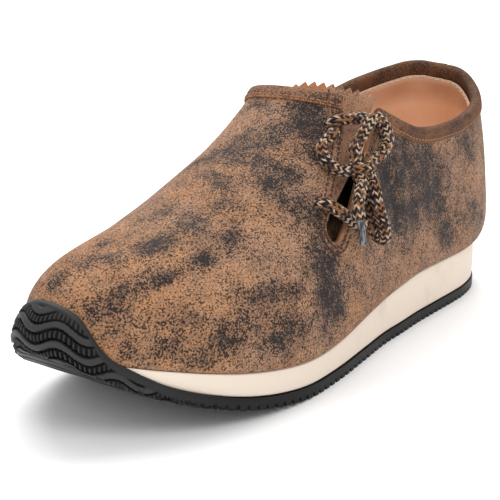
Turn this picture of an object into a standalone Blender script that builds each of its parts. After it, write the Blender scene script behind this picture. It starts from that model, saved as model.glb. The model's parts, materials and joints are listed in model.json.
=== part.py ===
"""Left low sneaker: leather upper with side lacing, cream midsole, black ribbed outsole with toe bumper.

Lengths are in millimetres from the back of the heel along the sole, from the middle of the heel
across it (plus is the outer side) and upward, with the floor at FLOOR; the mesh is written in metres
about the middle of the whole shoe, toe to +X, outer side to +Y, the floor at 0.
"""
import math

import bmesh
import bpy
import numpy as np

MM = 0.001
WELD = 0.00002

# Sole and last
LENGTH = 262.0
MIDDLE_ALONG = 130.10
MIDDLE_ACROSS = 2.34
FLOOR = -1.0
HEEL_ROUND = 45.0
HEEL_POWER = 2.0
TOE_ROUND = 86.0
TOE_POWER = 2.15
SPRING_START = 165.0
SPRING = 24.0
SPRING_POWER = 2.3
POLE_HEEL = 34.0
POLE_TOE = 50.0

PLAN = (
    "along half_width centre",
    (0, 31.0, 0.0),
    (30, 31.2, 0.2),
    (55, 31.8, 1.2),
    (82, 31.5, 3.0),
    (109, 32.5, 4.5),
    (136, 36.5, 4.5),
    (163, 42.0, 3.4),
    (190, 45.5, 2.2),
    (215, 46.0, 1.6),
    (240, 44.0, 1.0),
    (262, 41.0, 0.0),
)
SOLE = (
    "along thick",
    (0, 21.9),
    (80, 22.2),
    (130, 18.1),
    (175, 14.0),
    (205, 13.6),
    (222, 12.8),
    (236, 11.4),
    (246, 9.7),
    (255, 8.0),
    (262, 7.2),
)
CROWN = (
    "along ridge power overhang tuck",
    (0, 125.0, 2.12, 6.5, 12),
    (40, 135.0, 2.40, 4.5, 11),
    (80, 141.0, 2.50, 3.5, 10),
    (105, 135.0, 2.40, 3.0, 9),
    (125, 117.0, 2.30, 3.0, 9),
    (140, 101.0, 2.20, 3.0, 9),
    (155, 88.6, 2.15, 3.0, 9),
    (175, 77.0, 2.10, 2.5, 9),
    (200, 66.6, 2.10, 2.0, 9),
    (225, 60.1, 2.20, 1.0, 8),
    (245, 57.8, 2.70, 0.3, 8),
    (262, 55.5, 3.30, 0.2, 8),
)
COLLAR = (
    "along lateral medial",
    (0, 97.3, 97.3),
    (5.4, 97.3, 97.3),
    (7, 95.9, 97.9),
    (9, 93.6, 98.1),
    (12, 91.2, 97.9),
    (20, 87.5, 96.1),
    (32, 84.0, 93.2),
    (46, 81.6, 90.2),
    (60, 79.9, 87.3),
    (75, 79.8, 84.8),
    (90, 81.0, 84.0),
    (105, 85.6, 85.0),
    (115, 90.3, 88.6),
    (125, 95.0, 94.0),
    (132, 97.6, 97.4),
    (140, 100.2, 100.2),
    (152, 104.0, 104.0),
)

# Walls and the gaps between pieces
WALL = 2.2
UPPER_SQUARE = 0.12
GAP = 0.3
SEAT = 0.45

# Throat: a slit on the outer side that leans forward as it goes down
THROAT_TOP = (124.4, 90.3)
THROAT_LEAN = math.radians(46.7)
THROAT_END = 50.5
THROAT = (
    "down half_width centre",
    (-18, 8.8, 8.5),
    (-6, 8.2, 4.8),
    (3, 6.9, 3.4),
    (12, 5.8, 1.8),
    (22, 5.2, 0.9),
    (40, 4.9, 0.2),
    (50.5, 4.2, 0.9),
)
EYELET_RADIUS = 2.4
EYELETS = (
    "down across",
    (11.7, 11.9),
    (44.8, 9.6),
    (2.0, -9.4),
    (40.5, -10.2),
)

# Collar binding, tongue and insole
BINDING_DEEP = 4.9
BINDING_LEAF = 1.1
BINDING_TOP = 1.7
TONGUE_THICK = 1.4
TONGUE = (
    "part deep rise off",
    (0.00, 54, 5.5, -4.5),
    (0.15, 56, 6.5, -4.5),
    (0.50, 56, 7.0, -4.5),
    (0.72, 48, 6.0, -4.5),
    (0.86, 34, 1.0, -4.5),
    (1.00, 22, -3.0, -4.5),
)
TONGUE_EDGE = -1.5
INSOLE_THICK = 3.2
INSOLE_INSET = 2.6

# Outsole: a ribbed slab and the bumper that climbs over the toe
OUTSOLE_THICK = 4.4
OUTSOLE_FLANGE = 0.5
RIB_PITCH = 6.1
RIB_FLAT = 0.55
RIB_DEEP = 1.7
RIB_WAVE = 1.6
HEEL_BEVEL = 2.4
HEEL_BEVEL_RUN = 18.0
BUMPER_START = 200.0
BUMPER_RIB = 5.0
BUMPER_WAVE = 1.1
BUMPER_WAVELENGTH = 17.0
BUMPER_RELIEF = 1.1
BUMPER_FOOT = 3.8
BUMPER_TAPER = 0.5
BUMPER_TAPER_RUN = 8.0
TOE_BEVEL = 2.0
TOE_BEVEL_RUN = 14.0
BUMPER = (
    "along rise thick",
    (200, 3.4, 0.1),
    (214, 3.9, 0.6),
    (228, 4.4, 1.2),
    (240, 4.9, 1.8),
    (246, 6.0, 2.2),
    (250, 7.5, 2.5),
    (253, 8.6, 2.7),
    (255.5, 10.4, 2.7),
    (257.5, 13.5, 2.7),
    (259.5, 17.0, 2.7),
    (262, 20.5, 2.7),
)

# Lace: routes on the outer wall, off is the distance of the cord's middle from the leather
LACE_RADIUS = 2.2
AGLET_RADIUS = 1.7
LACE_STEP = 3.0
ROUTES = {
    "lace_bar_top": (
        "along height off",
        (142.4, 88.9, 2.7),
        (139.0, 89.3, 3.0),
        (135.4, 89.4, 3.2),
        (130.0, 89.5, 3.2),
        (125.0, 87.2, 3.1),
        (121.2, 84.3, 2.8),
    ),
    "lace_bar_low": (
        "along height off",
        (163.6, 63.7, 2.9),
        (160.3, 61.8, 3.0),
        (156.3, 58.9, 3.1),
        (151.6, 55.6, 3.0),
        (146.6, 54.2, 2.9),
    ),
    "lace_loop_front": (
        "along height off",
        (147.9, 72.4, 4.6),
        (150.4, 73.2, 3.4),
        (152.4, 74.9, 2.9),
        (153.0, 77.5, 2.9),
        (151.6, 80.2, 2.9),
        (149.0, 82.3, 2.9),
        (145.8, 83.8, 3.0),
    ),
    "lace_strand": (
        "along height off",
        (142.6, 78.2, 6.4),
        (139.0, 81.4, 7.4),
        (134.2, 85.6, 8.6),
    ),
    "lace_loop_rear": (
        "along height off",
        (129.0, 88.0, 8.9),
        (127.4, 84.2, 8.7),
        (127.9, 79.9, 8.2),
        (131.2, 76.9, 7.2),
        (136.6, 74.2, 6.0),
    ),
    "lace_end": (
        "along height off",
        (145.2, 67.8, 6.6),
        (149.6, 64.2, 7.4),
        (153.8, 59.4, 8.0),
        (154.4, 56.4, 8.0),
    ),
    "lace_loop_long": (
        "along height off",
        (139.7, 67.9, 6.6),
        (141.6, 64.0, 8.0),
        (142.3, 59.6, 8.2),
        (140.4, 52.8, 7.8),
        (138.9, 48.9, 7.4),
        (138.1, 46.9, 5.2),
        (138.6, 49.2, 3.0),
        (139.7, 53.4, 2.8),
        (140.8, 57.5, 2.8),
    ),
}
AGLET = (
    "along height off",
    (154.5, 56.0, 8.0),
    (156.6, 47.6, 8.0),
)
KNOT_MIDDLE = (142.3, 72.8, 5.6)
KNOT_RADII = (4.9, 4.7, 4.0)


def column(table, name, at):
    """Smooth value of a named column between its rows; it never passes beyond the rows' own values."""
    names = table[0].split()
    rows = np.array(table[1:], float)
    key = rows[:, 0]
    value = rows[:, names.index(name)]
    step = np.diff(key)
    slope = np.diff(value) / step
    before = slope[:-1]
    after = slope[1:]
    turn = before * after <= 0
    heavy = 2 * step[1:] + step[:-1]
    light = step[1:] + 2 * step[:-1]
    mean = (heavy + light) / (heavy / np.where(turn, 1, before) + light / np.where(turn, 1, after))
    grade = np.concatenate([slope[:1], np.where(turn, 0, mean), slope[-1:]])
    at = np.clip(at, key[0], key[-1])
    i = np.clip(np.searchsorted(key, at) - 1, 0, len(step) - 1)
    t = (at - key[i]) / step[i]
    u = 1 - t
    start = value[i] * (1 + 2 * t) * u * u + grade[i] * step[i] * t * u * u
    end = value[i + 1] * (3 - 2 * t) * t * t - grade[i + 1] * step[i] * t * t * u
    return start + end


def rounding(left, length, power):
    """Share of the full width at a distance left from a rounded end."""
    return (1 - (1 - np.clip(left / length, 0, 1)) ** power) ** (1 / power)


def plan(along):
    """Middle line and half width of the sole's outline."""
    half = column(PLAN, "half_width", along)
    half = half * rounding(along, HEEL_ROUND, HEEL_POWER)
    half = half * rounding(LENGTH - along, TOE_ROUND, TOE_POWER)
    return column(PLAN, "centre", along), half


def floor_line(along):
    """Underside of the sole: flat to the ball, then lifted by the toe spring."""
    lift = np.clip(along - SPRING_START, 0, None) / (LENGTH - SPRING_START)
    return FLOOR + SPRING * lift ** SPRING_POWER


def feather(along):
    """Top of the midsole, where the upper's lower edge sits."""
    return floor_line(along) + column(SOLE, "thick", along)


def station(q):
    """Distance from the heel for a place q on the outline, closer together at both ends."""
    return LENGTH * (0.5 - 0.5 * np.cos(np.pi * q))


def surface(q, tau):
    """Outside of the upper. q runs from heel to toe; tau from the outer edge over the spine to the inner.

    Each section rises from the sole's outline to the spine as a superellipse and swells over the
    edge by the overhang, rounding in again where it meets the sole.
    """
    q, tau = np.broadcast_arrays(np.asarray(q, float), np.asarray(tau, float))
    past = (q < 0) | (q > 1)
    tau = np.where(past, np.pi - tau, tau)
    q = np.where(q < 0, -q, np.where(q > 1, 2 - q, q))
    side = np.where(tau <= np.pi / 2, 1.0, -1.0)
    t = np.clip(np.minimum(tau, np.pi - tau), 0, np.pi / 2)
    along = station(q)
    centre, half = plan(along)
    top = POLE_HEEL + (LENGTH - POLE_HEEL - POLE_TOE) * along / LENGTH
    top_centre = column(PLAN, "centre", top)
    dx = along - top
    dy = centre + side * half - top_centre
    power = column(CROWN, "power", along)
    reach = np.clip(np.cos(t), 0, 1) ** (2 / power)
    rise = np.sin(t) ** (2 / power)
    x = top + dx * reach
    height = rise * (column(CROWN, "ridge", x) - feather(x))
    inset = 1 - np.clip(height / column(CROWN, "tuck", along), 0, 1)
    swell = column(CROWN, "overhang", along) * np.sqrt(1 - inset ** 2)
    reach = reach * (1 + swell / np.hypot(dx, dy))
    x = top + dx * reach
    z = feather(x) + rise * (column(CROWN, "ridge", x) - feather(x))
    return np.stack([x, top_centre + dy * reach, z], -1)


def normal(q, tau):
    """Outward unit normal of the surface; on the spine it is read just beside it."""
    d = 0.002
    tau = np.where(np.abs(tau - np.pi / 2) < d, np.pi / 2 - 2 * d, tau)
    across = surface(q + d, tau) - surface(q - d, tau)
    up = surface(q, tau + d) - surface(q, tau - d)
    n = np.cross(up, across)
    return n / np.linalg.norm(n, axis=-1, keepdims=True)


def collar_tau(q, side):
    """Rise of each section at the collar's cut on one side; a right angle where the section is whole."""
    low = np.zeros_like(q)
    high = np.full_like(q, np.pi / 2)
    whole = q > collar_front() - 1e-6
    for _ in range(40):
        half = (low + high) / 2
        over = above_collar(q, half, side)
        high = np.where(over, half, high)
        low = np.where(over, low, half)
    return np.where(whole, np.pi / 2, high)


def above_collar(q, t, side):
    """True where a section's point is over the collar's height on that side."""
    p = surface(q, t if side == "lateral" else np.pi - t)
    return p[..., 2] > column(COLLAR, side, p[..., 0])


def collar_front():
    """Place q of the section that meets the collar's cut on the spine."""
    q = np.linspace(0.4, 0.7, 3001)
    open_here = above_collar(q, np.full_like(q, np.pi / 2), "lateral")
    return q[open_here].max()


def walk(q, tau, heading, distance, pace=1.0):
    """Places reached by going straight over the surface; heading is a vector at each start."""
    q = np.array(q, float)
    tau = np.array(tau, float)
    distance = np.broadcast_to(np.asarray(distance, float), q.shape)
    steps = max(1, int(np.ceil(np.abs(distance).max() / pace)))
    d = 0.001
    for _ in range(steps):
        pq = (surface(q + d, tau) - surface(q - d, tau)) / (2 * d)
        pt = (surface(q, tau + d) - surface(q, tau - d)) / (2 * d)
        n = np.cross(pt, pq)
        n = n / np.linalg.norm(n, axis=-1, keepdims=True)
        heading = heading - n * (heading * n).sum(-1, keepdims=True)
        heading = heading / np.linalg.norm(heading, axis=-1, keepdims=True)
        go = heading * (distance / steps)[..., None]
        a = (pq * pq).sum(-1)
        b = (pq * pt).sum(-1)
        c = (pt * pt).sum(-1)
        e = (pq * go).sum(-1)
        f = (pt * go).sum(-1)
        full = a * c - b * b
        q = q + (c * e - b * f) / full
        tau = tau + (a * f - b * e) / full
    return q, tau


def collar_path(q_rear, q_medial, count_lateral, count_medial):
    """Places along the collar's edge from the outer side over the front to the inner side."""
    front = collar_front()
    near = 1 - (1 - np.linspace(0, 1, count_lateral)) ** 1.7
    far = 1 - (1 - np.linspace(0, 1, count_medial)) ** 1.7
    lateral = q_rear + (front - q_rear) * near
    medial = (q_medial + (front - q_medial) * far)[::-1]
    tau = np.concatenate([collar_tau(lateral, "lateral"), np.pi - collar_tau(medial, "medial")[1:]])
    return np.concatenate([lateral, medial[1:]]), tau


def down_from_collar(q, tau):
    """Direction in the surface square to the collar's edge, away from the opening."""
    edge = surface(q, tau)
    run = np.gradient(edge, axis=0)
    ahead = np.cross(normal(q, tau), run)
    return ahead / np.linalg.norm(ahead, axis=-1, keepdims=True)


def on_wall(along, height, off):
    """Point at a distance off from the outer wall at the given length and height."""
    along = np.asarray(along, float)
    height = np.asarray(height, float)
    grid_q, grid_t = np.meshgrid(np.linspace(0.3, 0.75, 91), np.linspace(0.05, 1.5, 88), indexing="ij")
    grid = surface(grid_q, grid_t)
    miss = (grid[..., 0] - along[:, None, None]) ** 2 + (grid[..., 2] - height[:, None, None]) ** 2
    pick = miss.reshape(len(along), -1).argmin(1)
    q = grid_q.reshape(-1)[pick]
    t = grid_t.reshape(-1)[pick]
    d = 0.001
    for _ in range(6):
        p = surface(q, t)
        pq = (surface(q + d, t) - surface(q - d, t)) / (2 * d)
        pt = (surface(q, t + d) - surface(q, t - d)) / (2 * d)
        ex = along - p[:, 0]
        ez = height - p[:, 2]
        full = pq[:, 0] * pt[:, 2] - pq[:, 2] * pt[:, 0]
        q = q + (ex * pt[:, 2] - ez * pt[:, 0]) / full
        t = t + (pq[:, 0] * ez - pq[:, 2] * ex) / full
    return surface(q, t) + np.asarray(off, float)[:, None] * normal(q, t)


def throat_place(down, across):
    """Length and height of a place given along the slit and square to it."""
    down = np.asarray(down, float)
    across = np.asarray(across, float)
    along = THROAT_TOP[0] + down * math.cos(THROAT_LEAN) + across * math.sin(THROAT_LEAN)
    height = THROAT_TOP[1] - down * math.sin(THROAT_LEAN) + across * math.cos(THROAT_LEAN)
    return along, height


def smooth_route(table, step):
    """Points at even steps on a smooth curve through a route's rows."""
    rows = np.array(table[1:], float)
    padded = np.concatenate([2 * rows[:1] - rows[1:2], rows, 2 * rows[-1:] - rows[-2:-1]])
    t = np.linspace(0, 1, 41)[:-1, None]
    pieces = []
    for a, b, c, d in zip(padded, padded[1:], padded[2:], padded[3:]):
        bend = 2 * a - 5 * b + 4 * c - d
        twist = -a + 3 * b - 3 * c + d
        pieces.append(0.5 * (2 * b + (c - a) * t + bend * t * t + twist * t ** 3))
    line = np.concatenate(pieces + [rows[-1:]])
    points = on_wall(line[:, 0], line[:, 1], line[:, 2])
    run = np.concatenate([[0], np.cumsum(np.linalg.norm(np.diff(points, axis=0), axis=1))])
    even = np.linspace(0, run[-1], max(4, int(round(run[-1] / step)) + 1))
    return np.stack([np.interp(even, run, points[:, k]) for k in range(3)], -1)


def to_metres(points):
    """Mesh coordinates about the middle of the shoe."""
    return (np.asarray(points, float) - (MIDDLE_ALONG, MIDDLE_ACROSS, FLOOR)) * MM


def material(name, colour, roughness):
    """Plain surface of one piece."""
    made = bpy.data.materials.new(name)
    made.use_nodes = True
    shader = made.node_tree.nodes["Principled BSDF"]
    shader.inputs["Base Color"].default_value = (*colour, 1)
    shader.inputs["Roughness"].default_value = roughness
    shader.inputs["Metallic"].default_value = 0.0
    made.diffuse_color = (*colour, 1)
    return made


def add_mesh(name, points, faces, group, weld=WELD):
    """Mesh object from points in millimetres, its doubled points joined."""
    mesh = bpy.data.meshes.new(name)
    mesh.from_pydata(to_metres(points).tolist(), [], [tuple(int(v) for v in f) for f in faces])
    tidy = bmesh.new()
    tidy.from_mesh(mesh)
    bmesh.ops.remove_doubles(tidy, verts=tidy.verts, dist=weld)
    bmesh.ops.dissolve_degenerate(tidy, edges=tidy.edges, dist=weld)
    tidy.to_mesh(mesh)
    tidy.free()
    made = bpy.data.objects.new(name, mesh)
    group.objects.link(made)
    return made


def face_outward(made):
    """Turn a closed mesh's faces outward."""
    tidy = bmesh.new()
    tidy.from_mesh(made.data)
    bmesh.ops.recalc_face_normals(tidy, faces=tidy.faces)
    tidy.to_mesh(made.data)
    tidy.free()


def grid_faces(rows, columns, start=0, flip=False, wrap=False):
    """Quads of a grid stored row by row; wrap joins the last column to the first."""
    faces = []
    for i in range(rows - 1):
        for j in range(columns if wrap else columns - 1):
            k = (j + 1) % columns
            quad = (i * columns + j, i * columns + k, (i + 1) * columns + k, (i + 1) * columns + j)
            quad = tuple(start + v for v in quad)
            faces.append(quad[::-1] if flip else quad)
    return faces


def finish(made, surface_material):
    """Give a piece its material and split its faces into triangles."""
    if made.type == "MESH":
        made.modifiers.new("triangles", "TRIANGULATE")
    made.data.materials.clear()
    made.data.materials.append(surface_material)


def loft_solid(name, rings, group, wrap=False):
    """Closed solid from rings of points; the ends are filled unless the rings run in a circle."""
    rings = np.asarray(rings, float)
    count, size = rings.shape[:2]
    faces = grid_faces(count, size, wrap=True)
    if wrap:
        last = (count - 1) * size
        faces += [(last + j, last + (j + 1) % size, (j + 1) % size, j) for j in range(size)]
    else:
        faces.append(tuple(range(size))[::-1])
        faces.append(tuple(range((count - 1) * size, count * size)))
    made = add_mesh(name, rings.reshape(-1, 3), faces, group)
    face_outward(made)
    return made


def upper_stations():
    """Sections of the upper, closer together behind the front of the collar."""
    front = collar_front()
    rear = front * (1 - (1 - np.linspace(0, 1, 23)) ** 1.5)
    return np.concatenate([rear, np.linspace(front, 1, 19)[1:]])


def upper_side(q, side, parts):
    """Rise of one side of the upper: a row for each section, a column for each part of its length."""
    end = collar_tau(q, side)
    fine = np.linspace(0, 1, 161)
    t = end[:, None] * fine[None, :]
    points = surface(q[:, None], t if side == "lateral" else np.pi - t)
    run = np.concatenate([np.zeros((len(q), 1)), np.linalg.norm(np.diff(points, axis=1), axis=2)], 1)
    run = np.cumsum(run, 1)
    even = np.stack([np.interp(parts * r[-1], r, fine * e) for r, e in zip(run, end)])
    return even if side == "lateral" else np.pi - even


def wall_inside(q, tau):
    """Inner face of the wall; near the sole it stays square to the wall above the rounding."""
    square = np.clip(tau, UPPER_SQUARE, np.pi - UPPER_SQUARE)
    return surface(q, tau) - WALL * normal(q, square)


def build_upper(group, cutters):
    """Hollow upper, open at the collar, the throat and underneath."""
    q = upper_stations()
    parts = np.array([0, 0.03, 0.07, 0.13, 0.23, 0.36, 0.49, 0.62, 0.75, 0.88, 1.0])
    open_rows = int(np.argmin(np.abs(q - collar_front())))
    points = []
    faces = []
    size = len(q) * len(parts)
    for number, side in enumerate(("lateral", "medial")):
        tau = upper_side(q, side, parts)
        points.append(surface(q[:, None], tau).reshape(-1, 3))
        points.append(wall_inside(q[:, None], tau).reshape(-1, 3))
        outer = 2 * number * size
        inner = outer + size
        faces += grid_faces(len(q), len(parts), start=outer, flip=number == 1)
        faces += grid_faces(len(q), len(parts), start=inner, flip=number == 0)
        faces += rim_faces(0, len(q) - 1, 0, len(parts), outer, inner)
        faces += rim_faces(0, open_rows, len(parts) - 1, len(parts), outer, inner)
    made = add_mesh("upper", np.concatenate(points), faces, group)
    face_outward(made)
    cut(made, throat_cutter(cutters))
    for number, (down, across) in enumerate(EYELETS[1:]):
        cut(made, eyelet_cutter(number, down, across, cutters))
    return made


def rim_faces(first, last, place, size, outer, inner):
    """Quads that close the wall along one edge of its two grids."""
    faces = []
    for i in range(first, last):
        here = i * size + place
        after = here + size
        faces.append((outer + here, outer + after, inner + after, inner + here))
    return faces


def cut(made, tool):
    """Take a cutter's volume out of a piece."""
    hole = made.modifiers.new(tool.name, "BOOLEAN")
    hole.operation = "DIFFERENCE"
    hole.solver = "EXACT"
    hole.object = tool


def as_cutter(made):
    """Keep a cutter out of the pictures."""
    made.hide_render = True
    made.display_type = "WIRE"
    return made


def throat_cutter(group):
    """Blade with the outline of the lacing slit, across the outer wall."""
    down = np.array([-18.0, -6, 0, 6, 12, 24, 36, THROAT_END])
    half = column(THROAT, "half_width", down)
    middle = column(THROAT, "centre", down)
    turn = np.linspace(0, np.pi, 9)[1:-1]
    tip = half[-1]
    along_slit = np.concatenate([down, THROAT_END + tip * np.sin(turn), down[::-1]])
    across = np.concatenate([middle + half, middle[-1] + tip * np.cos(turn), (middle - half)[::-1]])
    along, height = throat_place(along_slit, across)
    near = np.stack([along, np.full_like(along, 12.0), height], -1)
    far = np.stack([along, np.full_like(along, 60.0), height], -1)
    return as_cutter(loft_solid("throat_blade", [near, far], group))


def eyelet_cutter(number, down, across, group):
    """Punch for one lace hole, square to the wall."""
    along, height = throat_place([down], [across])
    inside = on_wall(along, height, np.array([-5.0]))[0]
    outside = on_wall(along, height, np.array([4.0]))[0]
    axis = (outside - inside) / np.linalg.norm(outside - inside)
    side = np.cross(axis, (0, 0, 1.0))
    side = side / np.linalg.norm(side)
    up = np.cross(side, axis)
    turn = np.linspace(0, 2 * np.pi, 11)[:-1, None]
    ring = EYELET_RADIUS * (np.cos(turn) * side + np.sin(turn) * up)
    return as_cutter(loft_solid("eyelet_punch_%d" % number, [inside + ring, outside + ring], group))


def build_binding(group):
    """Folded strip over the collar's edge, from one edge of the throat round the heel to the other."""
    front = collar_front()
    gap_front, gap_rear = binding_ends()
    near = gap_front + (front - gap_front) * (1 - (1 - np.linspace(0, 1, 12)) ** 1.5)
    medial = front * (1 - (1 - np.linspace(0, 1, 27)) ** 1.6)
    rear = gap_rear * (1 - np.linspace(0, 1, 20)) ** 1.15
    q = np.concatenate([near, medial[::-1][1:], rear[::-1][1:]])
    tau = np.concatenate([
        collar_tau(near, "lateral"),
        np.pi - collar_tau(medial[::-1][1:], "medial"),
        collar_tau(rear[::-1][1:], "lateral"),
    ])
    edge = surface(q, tau)
    n = normal(q, tau)
    ahead = down_from_collar(q, tau)
    low_q, low_tau = walk(q, tau, ahead, BINDING_DEEP)
    low = surface(low_q, low_tau)
    low_n = normal(low_q, low_tau)
    outer = SEAT + BINDING_LEAF
    inner = -WALL - SEAT
    middle = -WALL / 2
    rings = np.stack([
        low + SEAT * low_n,
        low + outer * low_n,
        edge + outer * n,
        edge - ahead * (BINDING_TOP * 0.75) + (middle + 1.5) * n,
        edge - ahead * BINDING_TOP + middle * n,
        edge - ahead * (BINDING_TOP * 0.75) + (middle - 1.5) * n,
        edge + (inner - BINDING_LEAF) * n,
        low + (inner - BINDING_LEAF) * low_n,
        low + inner * low_n,
        edge - ahead * SEAT + inner * n,
        edge - ahead * SEAT + SEAT * n,
    ], 1)
    return loft_solid("collar_binding", rings, group)


def binding_ends():
    """Places q on the outer collar where the throat's front and rear edges reach it."""
    q, down, across = collar_in_throat()
    half = column(THROAT, "half_width", down)
    beside = across - column(THROAT, "centre", down)
    return q[np.argmin(np.abs(beside - half))], q[np.argmin(np.abs(beside + half))]


def collar_in_throat():
    """Places q on the outer collar with their distances along the slit and square to it."""
    q = np.linspace(0.3, collar_front() - 1e-4, 1200)
    edge = surface(q, collar_tau(q, "lateral"))
    ahead = edge[:, 0] - THROAT_TOP[0]
    up = edge[:, 2] - THROAT_TOP[1]
    down = ahead * math.cos(THROAT_LEAN) - up * math.sin(THROAT_LEAN)
    across = ahead * math.sin(THROAT_LEAN) + up * math.cos(THROAT_LEAN)
    return q, down, across


def build_tongue(group):
    """Thin flap behind the throat, sewn to the inside of the front flap."""
    collar_q, down, across = collar_in_throat()
    start = collar_q[np.argmin(np.abs(across - TONGUE_EDGE))]
    q, tau = collar_path(start, collar_front() - 0.05, 17, 6)
    edge = surface(q, tau)
    run = np.concatenate([[0], np.cumsum(np.linalg.norm(np.diff(edge, axis=0), axis=1))])
    part = run / run[-1]
    ahead = np.tile([math.cos(THROAT_LEAN), 0.0, -math.sin(THROAT_LEAN)], (len(q), 1))
    rise = column(TONGUE, "rise", part)
    deep = column(TONGUE, "deep", part)
    rows = []
    for share in (0.0, 0.1, 0.2, 0.32, 0.46, 0.6, 0.74, 0.87, 1.0):
        go = -rise + (deep + rise) * share
        at_q, at_tau = walk(q, tau, ahead, go)
        ease = np.clip((go - 9) / 8, 0, 1)
        ease = ease * ease * (3 - 2 * ease)
        off = column(TONGUE, "off", part) * (1 - ease) + (-WALL - 0.5) * ease
        rows.append(surface(at_q, at_tau) + off[:, None] * normal(at_q, at_tau))
    grid = np.stack(rows)
    made = add_mesh("tongue", grid.reshape(-1, 3), grid_faces(*grid.shape[:2], flip=False), group)
    sheet = made.modifiers.new("sheet", "SOLIDIFY")
    sheet.thickness = TONGUE_THICK * MM
    sheet.offset = -1
    return made


def sole_stations():
    """Lengths at which the sole's layers are drawn."""
    return station(np.linspace(0, 1, 45))


def layer(name, group, top, bottom, grow):
    """Flat layer with the sole's outline, grown outward by a distance at each length."""
    along = sole_stations()
    centre, half = plan(along)
    ahead = np.gradient(half, along)
    slope = 1 / np.sqrt(1 + np.clip(ahead, -6, 6) ** 2)
    wide = np.clip(half + grow(along) * slope, 0.05, None)
    shift = along - np.clip(ahead, -6, 6) * slope * grow(along)
    end = np.clip(shift, shift[1] - 3, shift[-2] + 3)
    rings = []
    for level in (top, bottom):
        z = level(along)
        rings.append((np.stack([end, centre + wide, z], -1), np.stack([end, centre - wide, z], -1)))
    sections = np.stack([rings[0][0], rings[0][1], rings[1][1], rings[1][0]], 1)
    return loft_solid(name, sections, group)


def build_midsole(group):
    """Cream foam layer between outsole and upper."""
    return layer(
        "midsole",
        group,
        lambda a: feather(a) - GAP,
        lambda a: floor_line(a) + OUTSOLE_THICK + GAP,
        lambda a: 0 * a,
    )


def build_insole(group):
    """Cushion that lies on the midsole inside the upper."""
    return layer(
        "insole",
        group,
        lambda a: feather(a) + INSOLE_THICK,
        lambda a: feather(a),
        insole_grow,
    )


def insole_grow(along):
    """How far the insole stays inside the outline so that it clears the wall."""
    swell = column(CROWN, "overhang", along) * 0.6
    return -np.maximum(INSOLE_INSET, WALL + 3 * GAP - swell)


def build_slab(group):
    """Ribbed running layer: each rib is a flat strip across the sole with a groove behind it."""
    ribs = int((LENGTH - 4) / RIB_PITCH)
    starts = 1.0 + np.arange(ribs) * RIB_PITCH
    along = [0.0]
    depth = [0.6]
    for start in starts:
        along += [start, start + RIB_PITCH * RIB_FLAT, start + RIB_PITCH * (RIB_FLAT + 1) / 2]
        depth += [0.0, 0.0, RIB_DEEP]
    along = np.array(along + [LENGTH - 1])
    depth = np.array(depth + [0.3])
    depth = depth * (1 - 0.7 * toe_bevel(along) / TOE_BEVEL) + toe_bevel(along)
    depth = depth + HEEL_BEVEL * np.clip(1 - along / HEEL_BEVEL_RUN, 0, 1) ** 2
    centre, half = plan(along)
    half = np.clip(half + OUTSOLE_FLANGE * np.clip(half / 8, 0, 1), 0.05, None)
    across = np.array([-1.0, -0.5, 0.0, 0.5, 1.0])
    wave = RIB_WAVE * np.array([0.0, 1.0, -1.0, 1.0, 0.0])
    fade = np.clip(np.minimum(along, LENGTH - along) / 20, 0, 1)
    x = along[:, None] + fade[:, None] * wave
    y = centre[:, None] + half[:, None] * across
    low = np.stack([x, y, floor_line(x) + depth[:, None]], -1)
    edge = np.stack([along, along], 1)
    sides = np.stack([centre + half, centre - half], 1)
    high = np.stack([edge, sides, floor_line(edge) + OUTSOLE_THICK], -1)
    return loft_solid("outsole", np.concatenate([low, high], 1), group)


def toe_bevel(along):
    """How far the underside is lifted off the floor line as it rounds up to the toe."""
    return TOE_BEVEL * np.clip(1 - (LENGTH - along) / TOE_BEVEL_RUN, 0, 1) ** 2


def bumper_wall(q, side, rise):
    """Point of the toe that the bumper covers at a height over the floor line, and its outward normal."""
    along = station(q)
    tau_side = 1 if side > 0 else -1
    centre, half = plan(along)
    flat = np.stack([along, centre + tau_side * half, floor_line(along) + rise], -1)
    want = floor_line(along) + rise
    low = np.zeros_like(q)
    high = np.full_like(q, np.pi / 2)
    for _ in range(40):
        mid = (low + high) / 2
        p = surface(q, mid if side > 0 else np.pi - mid)
        over = p[..., 2] > want
        high = np.where(over, mid, high)
        low = np.where(over, low, mid)
    curved = surface(q, high if side > 0 else np.pi - high)
    on_upper = want > feather(along) + 0.5
    point = np.where(on_upper[..., None], curved, flat)
    upright = normal(q, np.full_like(q, 0.3) if side > 0 else np.full_like(q, np.pi - 0.3))
    upright[..., 2] = 0
    upright = upright / np.linalg.norm(upright, axis=-1, keepdims=True)
    lean = normal(q, np.maximum(high, 0.3) if side > 0 else np.pi - np.maximum(high, 0.3))
    share = np.clip((want - feather(along)) / 8, 0, 1)[..., None]
    out = upright * (1 - share) + lean * share
    return point, out / np.linalg.norm(out, axis=-1, keepdims=True)


def bumper_places():
    """Places round the toe at even distances, from the outer side to the inner."""
    start = np.arccos(1 - 2 * BUMPER_START / LENGTH) / np.pi
    q = np.concatenate([np.linspace(start, 1, 300), np.linspace(1, start, 300)[1:]])
    side = np.where(np.arange(len(q)) < 300, 1.0, -1.0)
    along = station(q)
    centre, half = plan(along)
    line = np.stack([along, centre + side * half], -1)
    run = np.concatenate([[0], np.cumsum(np.linalg.norm(np.diff(line, axis=0), axis=1))])
    even = np.linspace(0, run[-1], 49)
    number = np.interp(even, run, np.arange(len(q)))
    place = np.interp(number, np.arange(len(q)), q)
    return place, np.where(number <= 299, 1.0, -1.0), even - run[-1] / 2


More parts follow.
